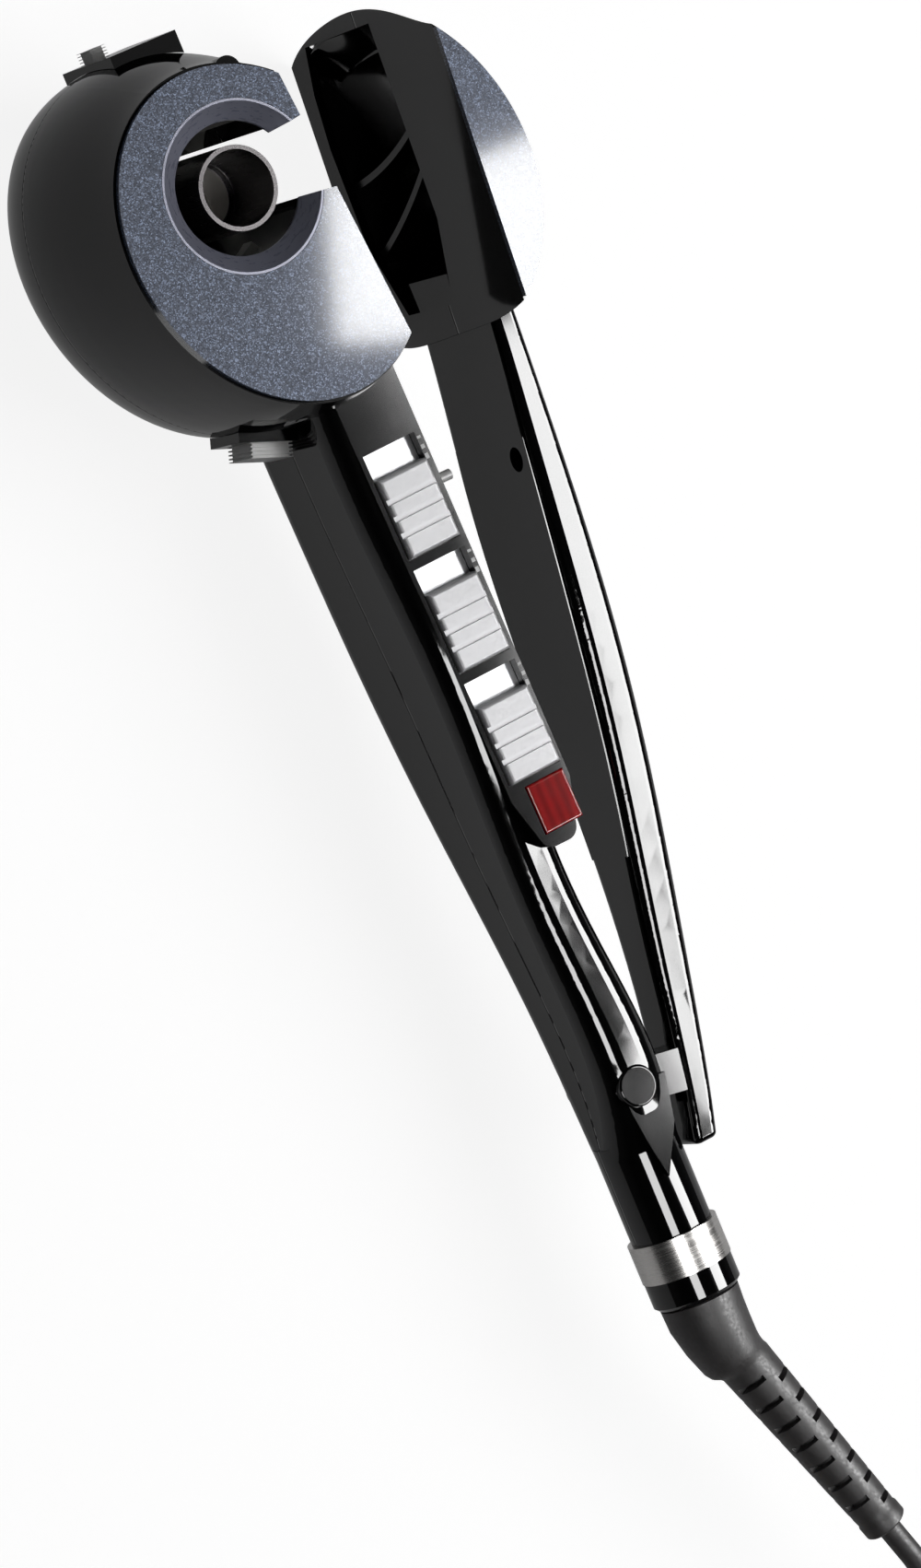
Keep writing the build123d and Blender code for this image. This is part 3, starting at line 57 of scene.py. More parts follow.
camera.matrix_world = Matrix.Translation(camera_spot) @ camera_turn
bpy.context.scene.camera = camera

# Mains cord: a round flexible lead in dark grey vinyl. It leaves the strain relief, comes down to the
# surface and is put away there as a two-layer coil, wound inwards below and outwards above.
cord_radius = 0.00265
cord_route = [
    Vector((0.03626, -0.31650, 0.0340)),
    Vector((0.04296, -0.33540, 0.0340)),
    Vector((0.0540, -0.3640, 0.0160)),
    Vector((0.0610, -0.3920, 0.0027)),
    Vector((0.0640, -0.4200, 0.0027)),
    Vector((0.0640, -0.4350, 0.0027)),
]
coil_radius = 0.0420
coil_pitch = 0.00595
coil_turns = 4
coil_steps = 12
coil_tail = 0.0360
coil_start = Vector((0.0640, -0.4403, 0.0027))
half_turns = [(coil_radius - number * coil_pitch / 2, 0) for number in range(2 * coil_turns)]
climbing_turn = (coil_radius - coil_turns * coil_pitch, 1)
route = [*cord_route, coil_start]
place = coil_start
side = 1
for radius, climb in [*half_turns, climbing_turn, *reversed(half_turns)]:
    middle = place - Vector((side * radius, 0, 0))
    for step in range(1, coil_steps + 1):
        turned = pi * step / coil_steps
        route.append(middle + Vector((side * radius * cos(turned), -side * radius * sin(turned),
                                      climb * coil_pitch * step / coil_steps)))
    place = route[-1].copy()
    side = -side
route.append(place + Vector((0, coil_tail / 3, 0)))
route.append(place + Vector((0, coil_tail, 0)))
cord_end = route[-1].copy()
cord_curve = bpy.data.curves.new("cord_lead", "CURVE")
cord_curve.dimensions = "3D"
cord_curve.resolution_u = 4
cord_curve.bevel_depth = cord_radius
cord_curve.bevel_resolution = 3
cord_curve.use_fill_caps = True
cord_spline = cord_curve.splines.new("NURBS")
cord_spline.points.add(len(route) - 1)
for point, spot in zip(cord_spline.points, route):
    point.co = (*spot, 1)
cord_spline.order_u = 3
cord_spline.use_endpoint_u = True
cord_lead = bpy.data.objects.new("cord_lead", cord_curve)
bpy.context.scene.collection.objects.link(cord_lead)


def new_material(name):
    """An empty material, with its nodes, its links and its shader."""
    made = bpy.data.materials.new(name)
    made.use_nodes = True
    return made, made.node_tree.nodes, made.node_tree.links, made.node_tree.nodes["Principled BSDF"]


def grained(name, colour, roughness, metallic=0.0, grain=900, depth=0.00002, mottle=0.15,
            stretch=(1, 1, 1), cloud=60):
    """A material with fine grain in its surface and soft clouds in its colour and gloss."""
    made, nodes, links, shader = new_material(name)
    shader.inputs["Metallic"].default_value = metallic
    spots = nodes.new("ShaderNodeTexCoord")
    drawn = nodes.new("ShaderNodeMapping")
    drawn.inputs["Scale"].default_value = stretch
    links.new(spots.outputs["Object"], drawn.inputs["Vector"])
    clouds = nodes.new("ShaderNodeTexNoise")
    clouds.inputs["Scale"].default_value = cloud
    clouds.inputs["Detail"].default_value = 4
    links.new(spots.outputs["Object"], clouds.inputs["Vector"])
    tints = nodes.new("ShaderNodeValToRGB")
    tints.color_ramp.elements[0].position = 0.3
    tints.color_ramp.elements[0].color = (*[part * (1 - mottle) for part in colour], 1)
    tints.color_ramp.elements[1].position = 0.7
    tints.color_ramp.elements[1].color = (*[min(1, part * (1 + mottle)) for part in colour], 1)
    links.new(clouds.outputs["Fac"], tints.inputs["Fac"])
    links.new(tints.outputs["Color"], shader.inputs["Base Color"])
    fine = nodes.new("ShaderNodeTexNoise")
    fine.inputs["Scale"].default_value = grain
    fine.inputs["Detail"].default_value = 3
    links.new(drawn.outputs["Vector"], fine.inputs["Vector"])
    gloss = nodes.new("ShaderNodeMapRange")
    gloss.inputs["From Min"].default_value = 0.3
    gloss.inputs["From Max"].default_value = 0.7
    gloss.inputs["To Min"].default_value = roughness * 0.8
    gloss.inputs["To Max"].default_value = min(1, roughness * 1.25)
    links.new(fine.outputs["Fac"], gloss.inputs["Value"])
    links.new(gloss.outputs["Result"], shader.inputs["Roughness"])
    relief = nodes.new("ShaderNodeBump")
    relief.inputs["Strength"].default_value = 0.6
    relief.inputs["Distance"].default_value = depth
    links.new(fine.outputs["Fac"], relief.inputs["Height"])
    links.new(relief.outputs["Normal"], shader.inputs["Normal"])
    return made


def dress(made, *names):
    """Give CAD nodes a material in place of their plain one."""
    for name in names:
        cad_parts[name].data.materials.clear()
        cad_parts[name].data.materials.append(made)


rubber = grained("grey_rubber", (0.085, 0.079, 0.080), 0.48, grain=1400, depth=0.00003, mottle=0.18,
                 cloud=90)
cord_curve.materials.append(rubber)
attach(cord_lead, "cord_set")
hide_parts("cord", "cord_coil")

# Plug: a moulded two-pin plug of the lead's own grey vinyl, its sides drawn in for the fingers. Its two
# brass pins are pressed into the core before the vinyl goes round it.
plug_neck_radius = 0.0044
plug_sections = [
    # distance along the plug, half width, half thickness
    (0.0110, 0.0046, 0.0046), (0.0125, 0.0090, 0.0060), (0.0160, 0.0122, 0.0064), (0.0280, 0.0112, 0.0060),
    (0.0400, 0.0124, 0.0065), (0.0450, 0.0126, 0.0066), (0.0460, 0.0120, 0.0060),
]


def add_piece(mesh, name, material, smooth=True):
    """Put a bmesh into the scene as an object with one material."""
    data = bpy.data.meshes.new(name)
    mesh.to_mesh(data)
    mesh.free()
    data.materials.append(material)
    for polygon in data.polygons:
        polygon.use_smooth = smooth
    piece = bpy.data.objects.new(name, data)
    bpy.context.scene.collection.objects.link(piece)
    return piece


plug_mesh = bmesh.new()
bmesh.ops.create_circle(plug_mesh, cap_ends=True, segments=32, radius=plug_neck_radius)
plug_face = plug_mesh.faces[:]
along, wide, thick = 0.0, plug_neck_radius, plug_neck_radius
for next_along, next_wide, next_thick in plug_sections:
    grown = bmesh.ops.extrude_face_region(plug_mesh, geom=plug_face)
    rim = [item for item in grown["geom"] if isinstance(item, bmesh.types.BMVert)]
    bmesh.ops.delete(plug_mesh, geom=plug_face, context="FACES_ONLY")
    bmesh.ops.translate(plug_mesh, verts=rim, vec=(0, 0, next_along - along))
    bmesh.ops.scale(plug_mesh, verts=rim, vec=(next_wide / wide, next_thick / thick, 1))
    plug_face = [item for item in grown["geom"] if isinstance(item, bmesh.types.BMFace)]
    along, wide, thick = next_along, next_wide, next_thick
bmesh.ops.recalc_face_normals(plug_mesh, faces=plug_mesh.faces[:])
plug_turn = Matrix(((-1, 0, 0), (0, 0, 1), (0, 1, 0))).to_4x4()
bmesh.ops.transform(plug_mesh, matrix=Matrix.Translation(cord_end) @ plug_turn, verts=plug_mesh.verts[:])
plug_moulding = add_piece(plug_mesh, "plug_moulding", rubber)
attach(plug_moulding, "cord_set")
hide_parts("plug_body")
dress(grained("brass_pins", (0.62, 0.46, 0.20), 0.28, metallic=1.0, grain=1200, depth=0.00001, mottle=0.12),
      "plug_pins", "swivel_sleeve")

# Strain relief: a soft rubber moulding on the swivel. A round bulb with a heel bends towards the cord, and
# the long taper behind it has slots on four sides in turn, so that it bends with the lead.
relief_bend = radians(19.5)
relief_knee = Vector((0.0159, -0.2590, 0.0340))
relief_sides = 32
relief_stations = [
    # distance past the knee, radius, share of the bend, shift to the outside of the bend
    (-0.0057, 0.0080, 0.0, 0.0), (-0.0055, 0.0088, 0.0, 0.0), (-0.0010, 0.0086, 0.15, 0.0),
    (0.0040, 0.0080, 0.6, 0.0006), (0.0085, 0.0073, 1.0, 0.0011), (0.0100, 0.0069, 1.0, 0.0010),
    (0.0112, 0.0063, 1.0, 0.0004), (0.0122, 0.0061, 1.0, 0.0),
]
slot_start = 0.0150
slot_pitch = 0.0030
slot_width = 0.0014
slot_count = 14
slot_floor = 0.0034
slot_half_angle = radians(34)
taper_radius = 0.0060
taper_loss = 0.0012
for number in range(slot_count):
    near = slot_start + number * slot_pitch
    for along, step in ((near, number), (near + slot_width, number + 0.4)):
        relief_stations.append((along, taper_radius - taper_loss * step / slot_count, 1.0, 0.0))
first_slot = len(relief_stations) - 2 * slot_count
relief_stations += [(0.0575, 0.0047, 1.0, 0.0), (0.0580, 0.0050, 1.0, 0.0), (0.0606, 0.0050, 1.0, 0.0),
                    (0.0610, 0.0046, 1.0, 0.0), (0.0610, 0.0027, 1.0, 0.0)]
relief_mesh = bmesh.new()
last_along, last_radius = relief_stations[0][:2]
first_ring = bmesh.ops.create_circle(relief_mesh, cap_ends=True, segments=relief_sides, radius=last_radius)
bmesh.ops.translate(relief_mesh, verts=first_ring["verts"], vec=(0, 0, last_along))
ring_edges = relief_mesh.edges[:]
bands = []
for along, radius, share, shift in relief_stations[1:]:
    grown = bmesh.ops.extrude_edge_only(relief_mesh, edges=ring_edges)["geom"]
    rim = [item for item in grown if isinstance(item, bmesh.types.BMVert)]
    ring_edges = [edge for edge in relief_mesh.edges if edge.verts[0] in rim and edge.verts[1] in rim]
    bands.append([item for item in grown if isinstance(item, bmesh.types.BMFace)])
    bmesh.ops.translate(relief_mesh, verts=rim, vec=(0, 0, along - last_along))
    bmesh.ops.scale(relief_mesh, verts=rim, vec=(radius / last_radius, radius / last_radius, 1))
    last_along, last_radius = along, radius
bmesh.ops.holes_fill(relief_mesh, edges=ring_edges, sides=relief_sides)
bmesh.ops.recalc_face_normals(relief_mesh, faces=relief_mesh.faces[:])
for number in range(slot_count):
    middle_angle = pi / 4 if number % 2 == 0 else 3 * pi / 4
    radius = relief_stations[first_slot + 2 * number][1]
    for turned in (middle_angle, middle_angle - pi):
        facing = Vector((cos(turned), sin(turned), 0))
        cut = [face for face in bands[first_slot + 2 * number] if face.is_valid
               and facing.dot(face.calc_center_median() * Vector((1, 1, 0)))
               > radius * cos(slot_half_angle)]
        sunk = bmesh.ops.extrude_face_region(relief_mesh, geom=cut)
        bottom = [item for item in sunk["geom"] if isinstance(item, bmesh.types.BMVert)]
        bmesh.ops.delete(relief_mesh, geom=cut, context="FACES")
        bmesh.ops.scale(relief_mesh, verts=bottom, vec=(slot_floor / radius, slot_floor / radius, 1))
for along, radius, share, shift in relief_stations:
    ring = [vert for vert in relief_mesh.verts if not vert.tag and abs(vert.co.z - along) < 0.000001]
    turn = relief_bend * share
    way = Vector((sin(turn), -cos(turn), 0))
    outside = Vector((-cos(turn), -sin(turn), 0))
    middle = relief_knee + (Vector((0, -along, 0)) if along < 0 else
                            Vector((sin(relief_bend), -cos(relief_bend), 0)) * along)
    stand = Matrix((outside, Vector((0, 0, 1)), way)).transposed().to_4x4()
    bend = Matrix.Translation(middle + outside * shift) @ stand @ Matrix.Translation((0, 0, -along))
    bmesh.ops.transform(relief_mesh, matrix=bend, verts=ring)
    for vert in ring:
        vert.tag = True
bmesh.ops.recalc_face_normals(relief_mesh, faces=relief_mesh.faces[:])
relief_moulding = add_piece(relief_mesh, "relief_moulding", rubber)
relief_moulding.data.set_sharp_from_angle(angle=radians(40))
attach(relief_moulding, "cord_set")
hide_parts("strain_relief")

# Housing: head, handle, jaw and lever are mouldings in black gloss plastic, polished in the mould. Their
# front and rear halves are screwed together, and meet at a fine parting line.
seam_height = 0.0340
seam_width = 0.00032
polish = 0.045


def black_gloss(name, roughness, seam):
    """Black plastic as it comes from a polished mould, with a parting line where one is asked for."""
    made, nodes, links, shader = new_material(name)
    shader.inputs["Base Color"].default_value = (0.004, 0.004, 0.0045, 1)
    spots = nodes.new("ShaderNodeTexCoord")
    smears = nodes.new("ShaderNodeTexNoise")
    smears.inputs["Scale"].default_value = 45
    smears.inputs["Detail"].default_value = 5
    links.new(spots.outputs["Object"], smears.inputs["Vector"])
    gloss = nodes.new("ShaderNodeMapRange")
    gloss.inputs["From Min"].default_value = 0.35
    gloss.inputs["From Max"].default_value = 0.7
    gloss.inputs["To Min"].default_value = roughness
    gloss.inputs["To Max"].default_value = roughness * 1.7
    links.new(smears.outputs["Fac"], gloss.inputs["Value"])
    links.new(gloss.outputs["Result"], shader.inputs["Roughness"])
    peel = nodes.new("ShaderNodeTexNoise")
    peel.inputs["Scale"].default_value = 220
    peel.inputs["Detail"].default_value = 1
    links.new(spots.outputs["Object"], peel.inputs["Vector"])
    skin = nodes.new("ShaderNodeBump")
    skin.inputs["Strength"].default_value = 0.1
    skin.inputs["Distance"].default_value = 0.00001
    links.new(peel.outputs["Fac"], skin.inputs["Height"])
    surface = skin
    if seam:
        parts = nodes.new("ShaderNodeSeparateXYZ")
        links.new(spots.outputs["Object"], parts.inputs["Vector"])
        off = nodes.new("ShaderNodeMath")
        off.operation = "SUBTRACT"
        off.inputs[1].default_value = seam_height
        links.new(parts.outputs["Z"], off.inputs[0])
        gap = nodes.new("ShaderNodeMath")
        gap.operation = "ABSOLUTE"
        links.new(off.outputs["Value"], gap.inputs[0])
        groove = nodes.new("ShaderNodeMapRange")
        groove.interpolation_type = "SMOOTHSTEP"
        groove.inputs["From Max"].default_value = seam_width
        links.new(gap.outputs["Value"], groove.inputs["Value"])
        surface = nodes.new("ShaderNodeBump")
        surface.inputs["Strength"].default_value = 1.0
        surface.inputs["Distance"].default_value = 0.0002
        links.new(groove.outputs["Result"], surface.inputs["Height"])
        links.new(skin.outputs["Normal"], surface.inputs["Normal"])
    links.new(surface.outputs["Normal"], shader.inputs["Normal"])
    return made


dress(black_gloss("black_gloss_halves", polish, True), "head_front_shell", "head_rear_shell",
      "handle_front_shell", "handle_rear_shell", "jaw_front_shell", "jaw_rear_shell")
housing = black_gloss("black_gloss_pieces", polish, False)
dress(housing, "lever_shell", "lever_cover", "switch_panel", "tip_strip", "heel_strip", "end_cap",
      "hinge_cap_front", "hinge_cap_rear")

# Jaw tip: a thin strip of the housing's plastic, moulded with the jaw, follows the drum's curve behind the
# far end of its mouth. The CAD's shells are slit open there, and this piece closes them.
head_half_width = 0.0353
head_half_length = 0.0420
head_height = 0.0665
head_turn = radians(19.8)
tip_inset = 0.00005
tip_wall = 0.0015
tip_chord = 0.0206
tip_low, tip_high = 0.0072, 0.0425
tip_near_end = 0.0100
jaw_swing = radians(9.45)
hinge_spot = Vector((0.0155, -0.2050, 0))
chord_turn = radians(5.26)
tip_sections = [
    # height, centre x, centre y, half width and half length as shares of the head's sizes
    (0.0, 0.227, -0.238, 0.737, 0.833), (0.2, 0.130, -0.231, 0.900, 0.960),
    (0.4, 0.057, -0.219, 0.989, 0.997), (0.6, 0.037, -0.217, 0.994, 0.997),
    (0.8, 0.045, -0.240, 0.941, 0.960),
]
tip_mesh = bmesh.new()
below = []
for height, x, y, half_width, half_length in tip_sections:
    ring = bmesh.ops.create_circle(tip_mesh, segments=240, radius=1)["verts"]
    stand = (Matrix.Translation((x * head_half_width, y * head_half_length, height * head_height))
             @ Matrix.Rotation(head_turn, 4, "Z")
             @ Matrix.Diagonal((half_width * head_half_width - tip_inset,
                                half_length * head_half_length - tip_inset, 1, 1)))
    bmesh.ops.transform(tip_mesh, matrix=stand, verts=ring)
    above = [edge for edge in tip_mesh.edges if edge.verts[0] in ring and edge.verts[1] in ring]
    if below:
        bmesh.ops.bridge_loops(tip_mesh, edges=below + above)
    below = above
bmesh.ops.recalc_face_normals(tip_mesh, faces=tip_mesh.faces[:])
chord_way = Vector((cos(chord_turn), sin(chord_turn), 0))
for spot, way in (
    (chord_way * tip_chord, -chord_way), ((0, tip_near_end, 0), (0, -1, 0)),
    ((0, 0, tip_low), (0, 0, -1)), ((0, 0, tip_high), (0, 0, 1)),
):
    whole = tip_mesh.verts[:] + tip_mesh.edges[:] + tip_mesh.faces[:]
    bmesh.ops.bisect_plane(tip_mesh, geom=whole, plane_co=spot, plane_no=way, clear_outer=True)
bmesh.ops.rotate(tip_mesh, verts=tip_mesh.verts[:], cent=hinge_spot,
                 matrix=Matrix.Rotation(-jaw_swing, 3, "Z"))
jaw_tip_wall = add_piece(tip_mesh, "jaw_tip_wall", housing)
thicken = jaw_tip_wall.modifiers.new("wall", "SOLIDIFY")
thicken.thickness = tip_wall
thicken.offset = -1
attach(jaw_tip_wall, "lever")

# Liners: the chamber round the barrel and the ribs inside the jaw are heat-proof black mouldings. They are
# less polished than the housing, and are clipped in behind it.
dress(black_gloss("liner_black", 0.16, False), "chamber_liner", "jaw_liner")

# Face plates: slate plastic with fine metal flake under a clear coat, glued flush into the head and jaw.
flake_scale = 4200
flake_lean_share = 0.16
slate, slate_nodes, slate_links, slate_shader = new_material("slate_flake")
slate_shader.inputs["Metallic"].default_value = 0.12
slate_shader.inputs["Roughness"].default_value = 0.48
slate_shader.inputs["Specular IOR Level"].default_value = 0.25
slate_shader.inputs["Coat Weight"].default_value = 1.0
slate_shader.inputs["Coat Roughness"].default_value = 0.05
slate_spots = slate_nodes.new("ShaderNodeTexCoord")
flakes = slate_nodes.new("ShaderNodeTexVoronoi")
flakes.inputs["Scale"].default_value = flake_scale
slate_links.new(slate_spots.outputs["Object"], flakes.inputs["Vector"])
flake_values = slate_nodes.new("ShaderNodeSeparateColor")
slate_links.new(flakes.outputs["Color"], flake_values.inputs["Color"])
flake_tints = slate_nodes.new("ShaderNodeValToRGB")
flake_tints.color_ramp.elements[0].position = 0.0
flake_tints.color_ramp.elements[0].color = (0.030, 0.042, 0.078, 1)
flake_tints.color_ramp.elements[1].position = 1.0
flake_tints.color_ramp.elements[1].color = (0.20, 0.26, 0.40, 1)
flake_middle = flake_tints.color_ramp.elements.new(0.7)
flake_middle.color = (0.058, 0.080, 0.135, 1)
slate_links.new(flake_values.outputs["Red"], flake_tints.inputs["Fac"])
slate_links.new(flake_tints.outputs["Color"], slate_shader.inputs["Base Color"])
flake_tilt = slate_nodes.new("ShaderNodeVectorMath")
flake_tilt.operation = "SUBTRACT"
flake_tilt.inputs[1].default_value = (0.5, 0.5, 0.5)
slate_links.new(flakes.outputs["Color"], flake_tilt.inputs[0])
flake_lean = slate_nodes.new("ShaderNodeVectorMath")
flake_lean.operation = "SCALE"
flake_lean.inputs["Scale"].default_value = flake_lean_share
slate_links.new(flake_tilt.outputs["Vector"], flake_lean.inputs[0])
slate_face = slate_nodes.new("ShaderNodeNewGeometry")
flake_sum = slate_nodes.new("ShaderNodeVectorMath")
slate_links.new(slate_face.outputs["Normal"], flake_sum.inputs[0])
slate_links.new(flake_lean.outputs["Vector"], flake_sum.inputs[1])
flake_normal = slate_nodes.new("ShaderNodeVectorMath")
flake_normal.operation = "NORMALIZE"
slate_links.new(flake_sum.outputs["Vector"], flake_normal.inputs[0])
slate_links.new(flake_normal.outputs["Vector"], slate_shader.inputs["Normal"])
dress(slate, "main_face_plate", "jaw_face_plate")

# Bevel ring: a plated ring round the mouth of the chamber, satin turned on a lathe, snapped into the plate.
dress(grained("satin_ring", (0.27, 0.28, 0.36), 0.30, metallic=0.2, grain=500, depth=0.000003,
              mottle=0.06, stretch=(1, 1, 6)), "bevel_ring")

# Curling barrel: a coated metal tube on a ceramic base. The heater, its band and a thermal fuse are inside.
dress(grained("barrel_coating", (0.085, 0.080, 0.082), 0.30, metallic=0.75, grain=260, depth=0.00001,
              mottle=0.2, stretch=(8, 8, 0.4)), "barrel_tube")
dress(grained("pale_ceramic", (0.72, 0.70, 0.64), 0.55, grain=700, depth=0.00004, mottle=0.08),
      "barrel_base", "heater_core")
dress(grained("heater_strip", (0.22, 0.21, 0.21), 0.42, metallic=0.9, grain=400, mottle=0.3), "heater_band")

# Hair rotor and its drive: white acetal gears, and a small motor in a dark bracket, run on a steel shaft.
dress(grained("acetal_white", (0.70, 0.70, 0.66), 0.40, grain=600, depth=0.00001, mottle=0.05),
      "rotor", "pinion", "terminal_block")
dress(grained("motor_can", (0.25, 0.25, 0.26), 0.35, metallic=0.9, grain=500, mottle=0.15,
              stretch=(1, 1, 12)), "motor", "motor_bracket")

# Grip strips: two pale ridged pads of soft plastic, one on each of the black strips across the drum. The
# light pin between handle and lever is of the same pale plastic.
dress(grained("pale_pads", (0.86, 0.86, 0.85), 0.38, grain=900, depth=0.00002, mottle=0.07),
      "tip_pad", "heel_pad", "contact_pin")

# Switches: silver painted caps slide over bright label strips, and work the switch bodies on the board.
cap_paint = grained("silver_caps", (0.90, 0.90, 0.92), 0.36, metallic=0.05, grain=1600, depth=0.00001,
                    mottle=0.05)
cap_paint.node_tree.nodes["Principled BSDF"].inputs["Specular IOR Level"].default_value = 0.25
dress(cap_paint, "heat_switch", "time_switch", "direction_switch")
dress(grained("label_strip", (0.86, 0.87, 0.89), 0.22, metallic=0.15, grain=1200, depth=0.00001,
              mottle=0.04), "switch_labels")
dress(grained("matt_black", (0.020, 0.020, 0.021), 0.55, grain=900, depth=0.00002),
      "switch_bodies", "buzzer")
dress(grained("board_green", (0.05, 0.16, 0.07), 0.45, grain=500, depth=0.00002, mottle=0.25),
      "circuit_board")

# Position marks: short white bars printed on the panel beside each switch, one for each place of its cap.
first_switch = Vector((0.01575, -0.07265, 0.0530))
switch_pitch = 0.02565
switch_tilt = radians(1.7)
switch_count = 3
marks_per_switch = 3
mark_offset = (0.00705, 0.0103)
mark_pitch = 0.0021
mark_width, mark_length, mark_growth, mark_thickness = 0.0009, 0.0006, 0.0003, 0.0001
mark_edge = 0.00003
mark_mesh = bmesh.new()
for number in range(switch_count):
    along = number * switch_pitch
    switch_spot = first_switch + Vector((along * sin(switch_tilt), -along * cos(switch_tilt), 0))
    turn = Matrix.Translation(switch_spot) @ Matrix.Rotation(switch_tilt, 4, "Z")
    for bar in range(marks_per_switch):
        made = bmesh.ops.create_cube(mark_mesh, size=1)
        place = Matrix.Translation((mark_offset[0], mark_offset[1] - bar * mark_pitch, 0))
        shape = Matrix.Diagonal((mark_width, mark_length + mark_growth * bar, mark_thickness, 1))
        bmesh.ops.transform(mark_mesh, matrix=turn @ place @ shape, verts=made["verts"])
bmesh.ops.bevel(mark_mesh, geom=mark_mesh.edges[:], offset=mark_edge, affect="EDGES", segments=2,
                profile=0.5, material=-1)
white_print = grained("white_print", (0.78, 0.78, 0.78), 0.45, grain=1800, depth=0.00001, mottle=0.04)
position_marks = add_piece(mark_mesh, "position_marks", white_print, smooth=False)
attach(position_marks, "main")

# Indicator: a clear red lens with fine upright ribs, pressed into the end of the panel over its lamp.
lens, lens_nodes, lens_links, lens_shader = new_material("red_lens")
lens_shader.inputs["Transmission Weight"].default_value = 0.2
lens_shader.inputs["IOR"].default_value = 1.49
lens_shader.inputs["Roughness"].default_value = 0.03
lens_spots = lens_nodes.new("ShaderNodeTexCoord")
lens_ribs = lens_nodes.new("ShaderNodeTexWave")
lens_ribs.inputs["Scale"].default_value = 130
lens_ribs.inputs["Distortion"].default_value = 0.4
lens_links.new(lens_spots.outputs["Object"], lens_ribs.inputs["Vector"])
lens_tints = lens_nodes.new("ShaderNodeValToRGB")
lens_tints.color_ramp.elements[0].color = (0.62, 0.004, 0.008, 1)
lens_tints.color_ramp.elements[1].color = (0.90, 0.016, 0.020, 1)
lens_links.new(lens_ribs.outputs["Fac"], lens_tints.inputs["Fac"])
lens_links.new(lens_tints.outputs["Color"], lens_shader.inputs["Base Color"])
lens_relief = lens_nodes.new("ShaderNodeBump")
lens_relief.inputs["Strength"].default_value = 0.05
lens_relief.inputs["Distance"].default_value = 0.000002
lens_links.new(lens_ribs.outputs["Fac"], lens_relief.inputs["Height"])
lens_links.new(lens_relief.outputs["Normal"], lens_shader.inputs["Normal"])
dress(lens, "indicator_lens", "indicator_lamp")

# Hinge and fasteners: a steel pin with its torsion spring, and the screws that hold the halves together.
dress(grained("bright_steel", (0.56, 0.55, 0.53), 0.30, metallic=1.0, grain=900, depth=0.00001, mottle=0.1,
              stretch=(1, 1, 5)),
      "hinge_pin", "torsion_spring", "shell_screws", "jaw_screws", "motor_shaft", "thermal_fuse")

# Collar: a ring of brushed stainless steel, rolled and pressed onto the neck of the handle.
dress(grained("brushed_collar", (0.55, 0.535, 0.52), 0.25, metallic=1.0, grain=60, depth=0.000004,
              mottle=0.06, stretch=(1, 90, 1)), "collar_ring")

# Floor: a plain sheet of white paper, which keeps the object's soft shadow. The camera sees it nearly
# white, and glossy surfaces mirror a part of that.
floor_half = 4
floor_drop = 0.0002
paper_glow = 0.88
paper_in_mirrors = 0.25
floor_mesh = bmesh.new()
bmesh.ops.create_grid(floor_mesh, x_segments=1, y_segments=1, size=floor_half)
bmesh.ops.translate(floor_mesh, verts=floor_mesh.verts[:], vec=(0, 0, -floor_drop))
paper, paper_nodes, paper_links, paper_plain = new_material("white_paper")
paper_nodes.remove(paper_plain)
paper_grain = paper_nodes.new("ShaderNodeTexNoise")
paper_grain.inputs["Scale"].default_value = 400
paper_spots = paper_nodes.new("ShaderNodeTexCoord")
paper_links.new(paper_spots.outputs["Object"], paper_grain.inputs["Vector"])
paper_tints = paper_nodes.new("ShaderNodeValToRGB")
paper_tints.color_ramp.elements[0].color = (0.38, 0.38, 0.38, 1)
paper_tints.color_ramp.elements[1].color = (0.42, 0.42, 0.42, 1)
paper_links.new(paper_grain.outputs["Fac"], paper_tints.inputs["Fac"])
paper_sheet = paper_nodes.new("ShaderNodeBsdfDiffuse")
paper_sheet.inputs["Color"].default_value = (0.62, 0.62, 0.64, 1)
paper_shadow = paper_nodes.new("ShaderNodeBsdfDiffuse")
paper_links.new(paper_tints.outputs["Color"], paper_shadow.inputs["Color"])
paper_white = paper_nodes.new("ShaderNodeEmission")
paper_white.inputs["Strength"].default_value = paper_glow
paper_seen = paper_nodes.new("ShaderNodeAddShader")
paper_links.new(paper_shadow.outputs["BSDF"], paper_seen.inputs[0])
paper_links.new(paper_white.outputs["Emission"], paper_seen.inputs[1])
paper_paths = paper_nodes.new("ShaderNodeLightPath")
paper_mirror = paper_nodes.new("ShaderNodeMath")
paper_mirror.operation = "MULTIPLY_ADD"
paper_mirror.inputs[1].default_value = paper_in_mirrors
paper_links.new(paper_paths.outputs["Is Glossy Ray"], paper_mirror.inputs[0])
paper_links.new(paper_paths.outputs["Is Transmission Ray"], paper_mirror.inputs[2])
paper_view = paper_nodes.new("ShaderNodeMath")
paper_view.operation = "MAXIMUM"
paper_links.new(paper_mirror.outputs["Value"], paper_view.inputs[0])
paper_links.new(paper_paths.outputs["Is Camera Ray"], paper_view.inputs[1])
paper_mix = paper_nodes.new("ShaderNodeMixShader")
paper_links.new(paper_view.outputs["Value"], paper_mix.inputs["Fac"])
paper_links.new(paper_sheet.outputs["BSDF"], paper_mix.inputs[1])
paper_links.new(paper_seen.outputs["Shader"], paper_mix.inputs[2])
paper_links.new(paper_mix.outputs["Shader"], paper_nodes["Material Output"].inputs["Surface"])
add_piece(floor_mesh, "floor", paper, smooth=False)

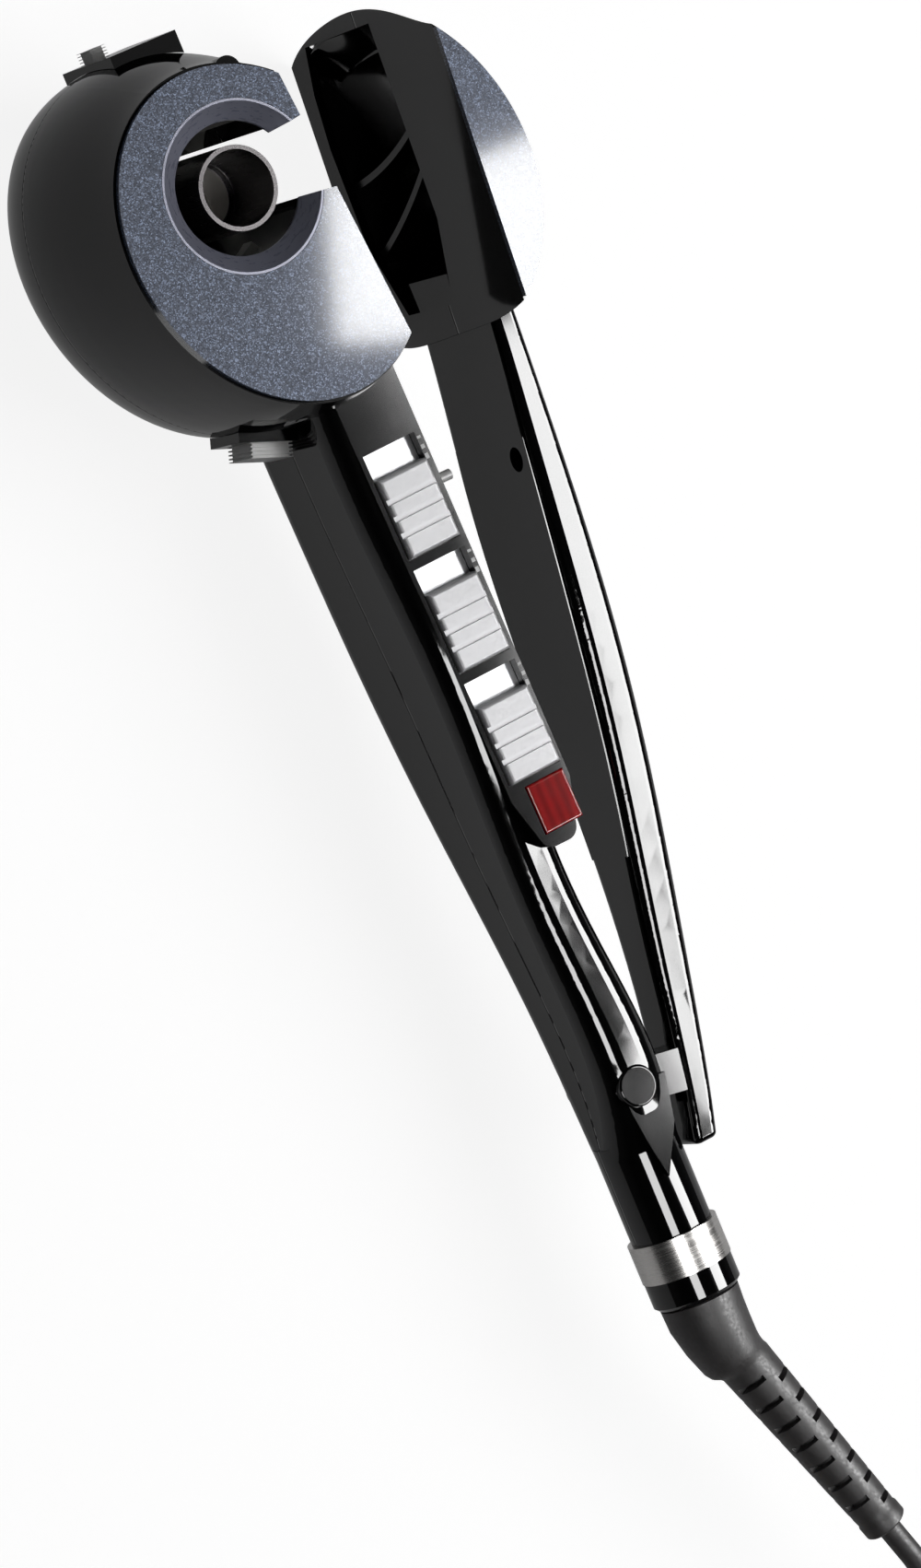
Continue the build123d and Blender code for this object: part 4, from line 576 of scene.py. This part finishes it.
# Light: soft boxes over a dim studio. The world keeps its default dark grey, so its strengths count for a
# twentieth, and the horizon past the floor is dark. All boxes but the fill lamp are there for their
# reflections in the plates, the lever and the handle.
world = bpy.data.worlds.new("studio")
bpy.context.scene.world = world
world.use_nodes = True
sky_nodes, sky_links = world.node_tree.nodes, world.node_tree.links
sky = sky_nodes["Background"]
sky_paths = sky_nodes.new("ShaderNodeLightPath")
sky_way = sky_nodes.new("ShaderNodeTexCoord")
sky_parts = sky_nodes.new("ShaderNodeSeparateXYZ")
sky_links.new(sky_way.outputs["Generated"], sky_parts.inputs["Vector"])
sky_fall = sky_nodes.new("ShaderNodeMapRange")
sky_fall.interpolation_type = "SMOOTHSTEP"
for socket, value in (("From Min", 0.05), ("From Max", 0.55), ("To Min", 0.8), ("To Max", 0.10)):
    sky_fall.inputs[socket].default_value = value
sky_links.new(sky_parts.outputs["Z"], sky_fall.inputs["Value"])
sky_glossy = sky_nodes.new("ShaderNodeMix")
sky_glossy.inputs[2].default_value = 0.62
sky_links.new(sky_paths.outputs["Is Glossy Ray"], sky_glossy.inputs[0])
sky_links.new(sky_fall.outputs["Result"], sky_glossy.inputs[3])
sky_seen = sky_nodes.new("ShaderNodeMix")
sky_seen.inputs[3].default_value = 1.0
sky_links.new(sky_paths.outputs["Is Camera Ray"], sky_seen.inputs[0])
sky_links.new(sky_glossy.outputs[0], sky_seen.inputs[2])
sky_links.new(sky_seen.outputs[0], sky.inputs["Strength"])


def soft_box(name, spot, size, radiance, aim=None, turn=0.0, fill=False):
    """A soft box of a given brightness. It faces down, or a point, and is seen in reflections or fills."""
    lamp_data = bpy.data.lights.new(name, "AREA")
    lamp_data.shape = "RECTANGLE"
    lamp_data.size, lamp_data.size_y = size
    lamp_data.energy = radiance * pi * size[0] * size[1]
    lamp = bpy.data.objects.new(name, lamp_data)
    bpy.context.scene.collection.objects.link(lamp)
    target = aim or (spot[0], spot[1], 0.0)
    facing = (Vector(spot) - Vector(target)).to_track_quat("Z", "Y").to_matrix().to_4x4()
    lamp.matrix_world = Matrix.Translation(spot) @ facing @ Matrix.Rotation(turn, 4, "Z")
    lamp.visible_camera = False
    lamp.visible_diffuse = fill
    lamp.visible_glossy = not fill


soft_box("right_box", (0.925, -0.489, 1.0), (0.84, 0.842), 21)
soft_box("plate_box", (0.500, -0.088, 1.001), (0.050, 0.058), 21, turn=radians(-20))
soft_box("right_edge", (0.80, -0.47, 1.02), (0.80, 1.0), 0.2)
soft_box("left_strip", (-0.42, -0.47, 1.2), (0.45, 0.30), 16)
soft_box("top_fill", (0.7, -0.3, 1.1), (1.0, 1.0), 1.9, aim=(0.02, -0.1, 0.03), fill=True)

# View: the plain colour view.
bpy.context.scene.view_settings.view_transform = "Standard"
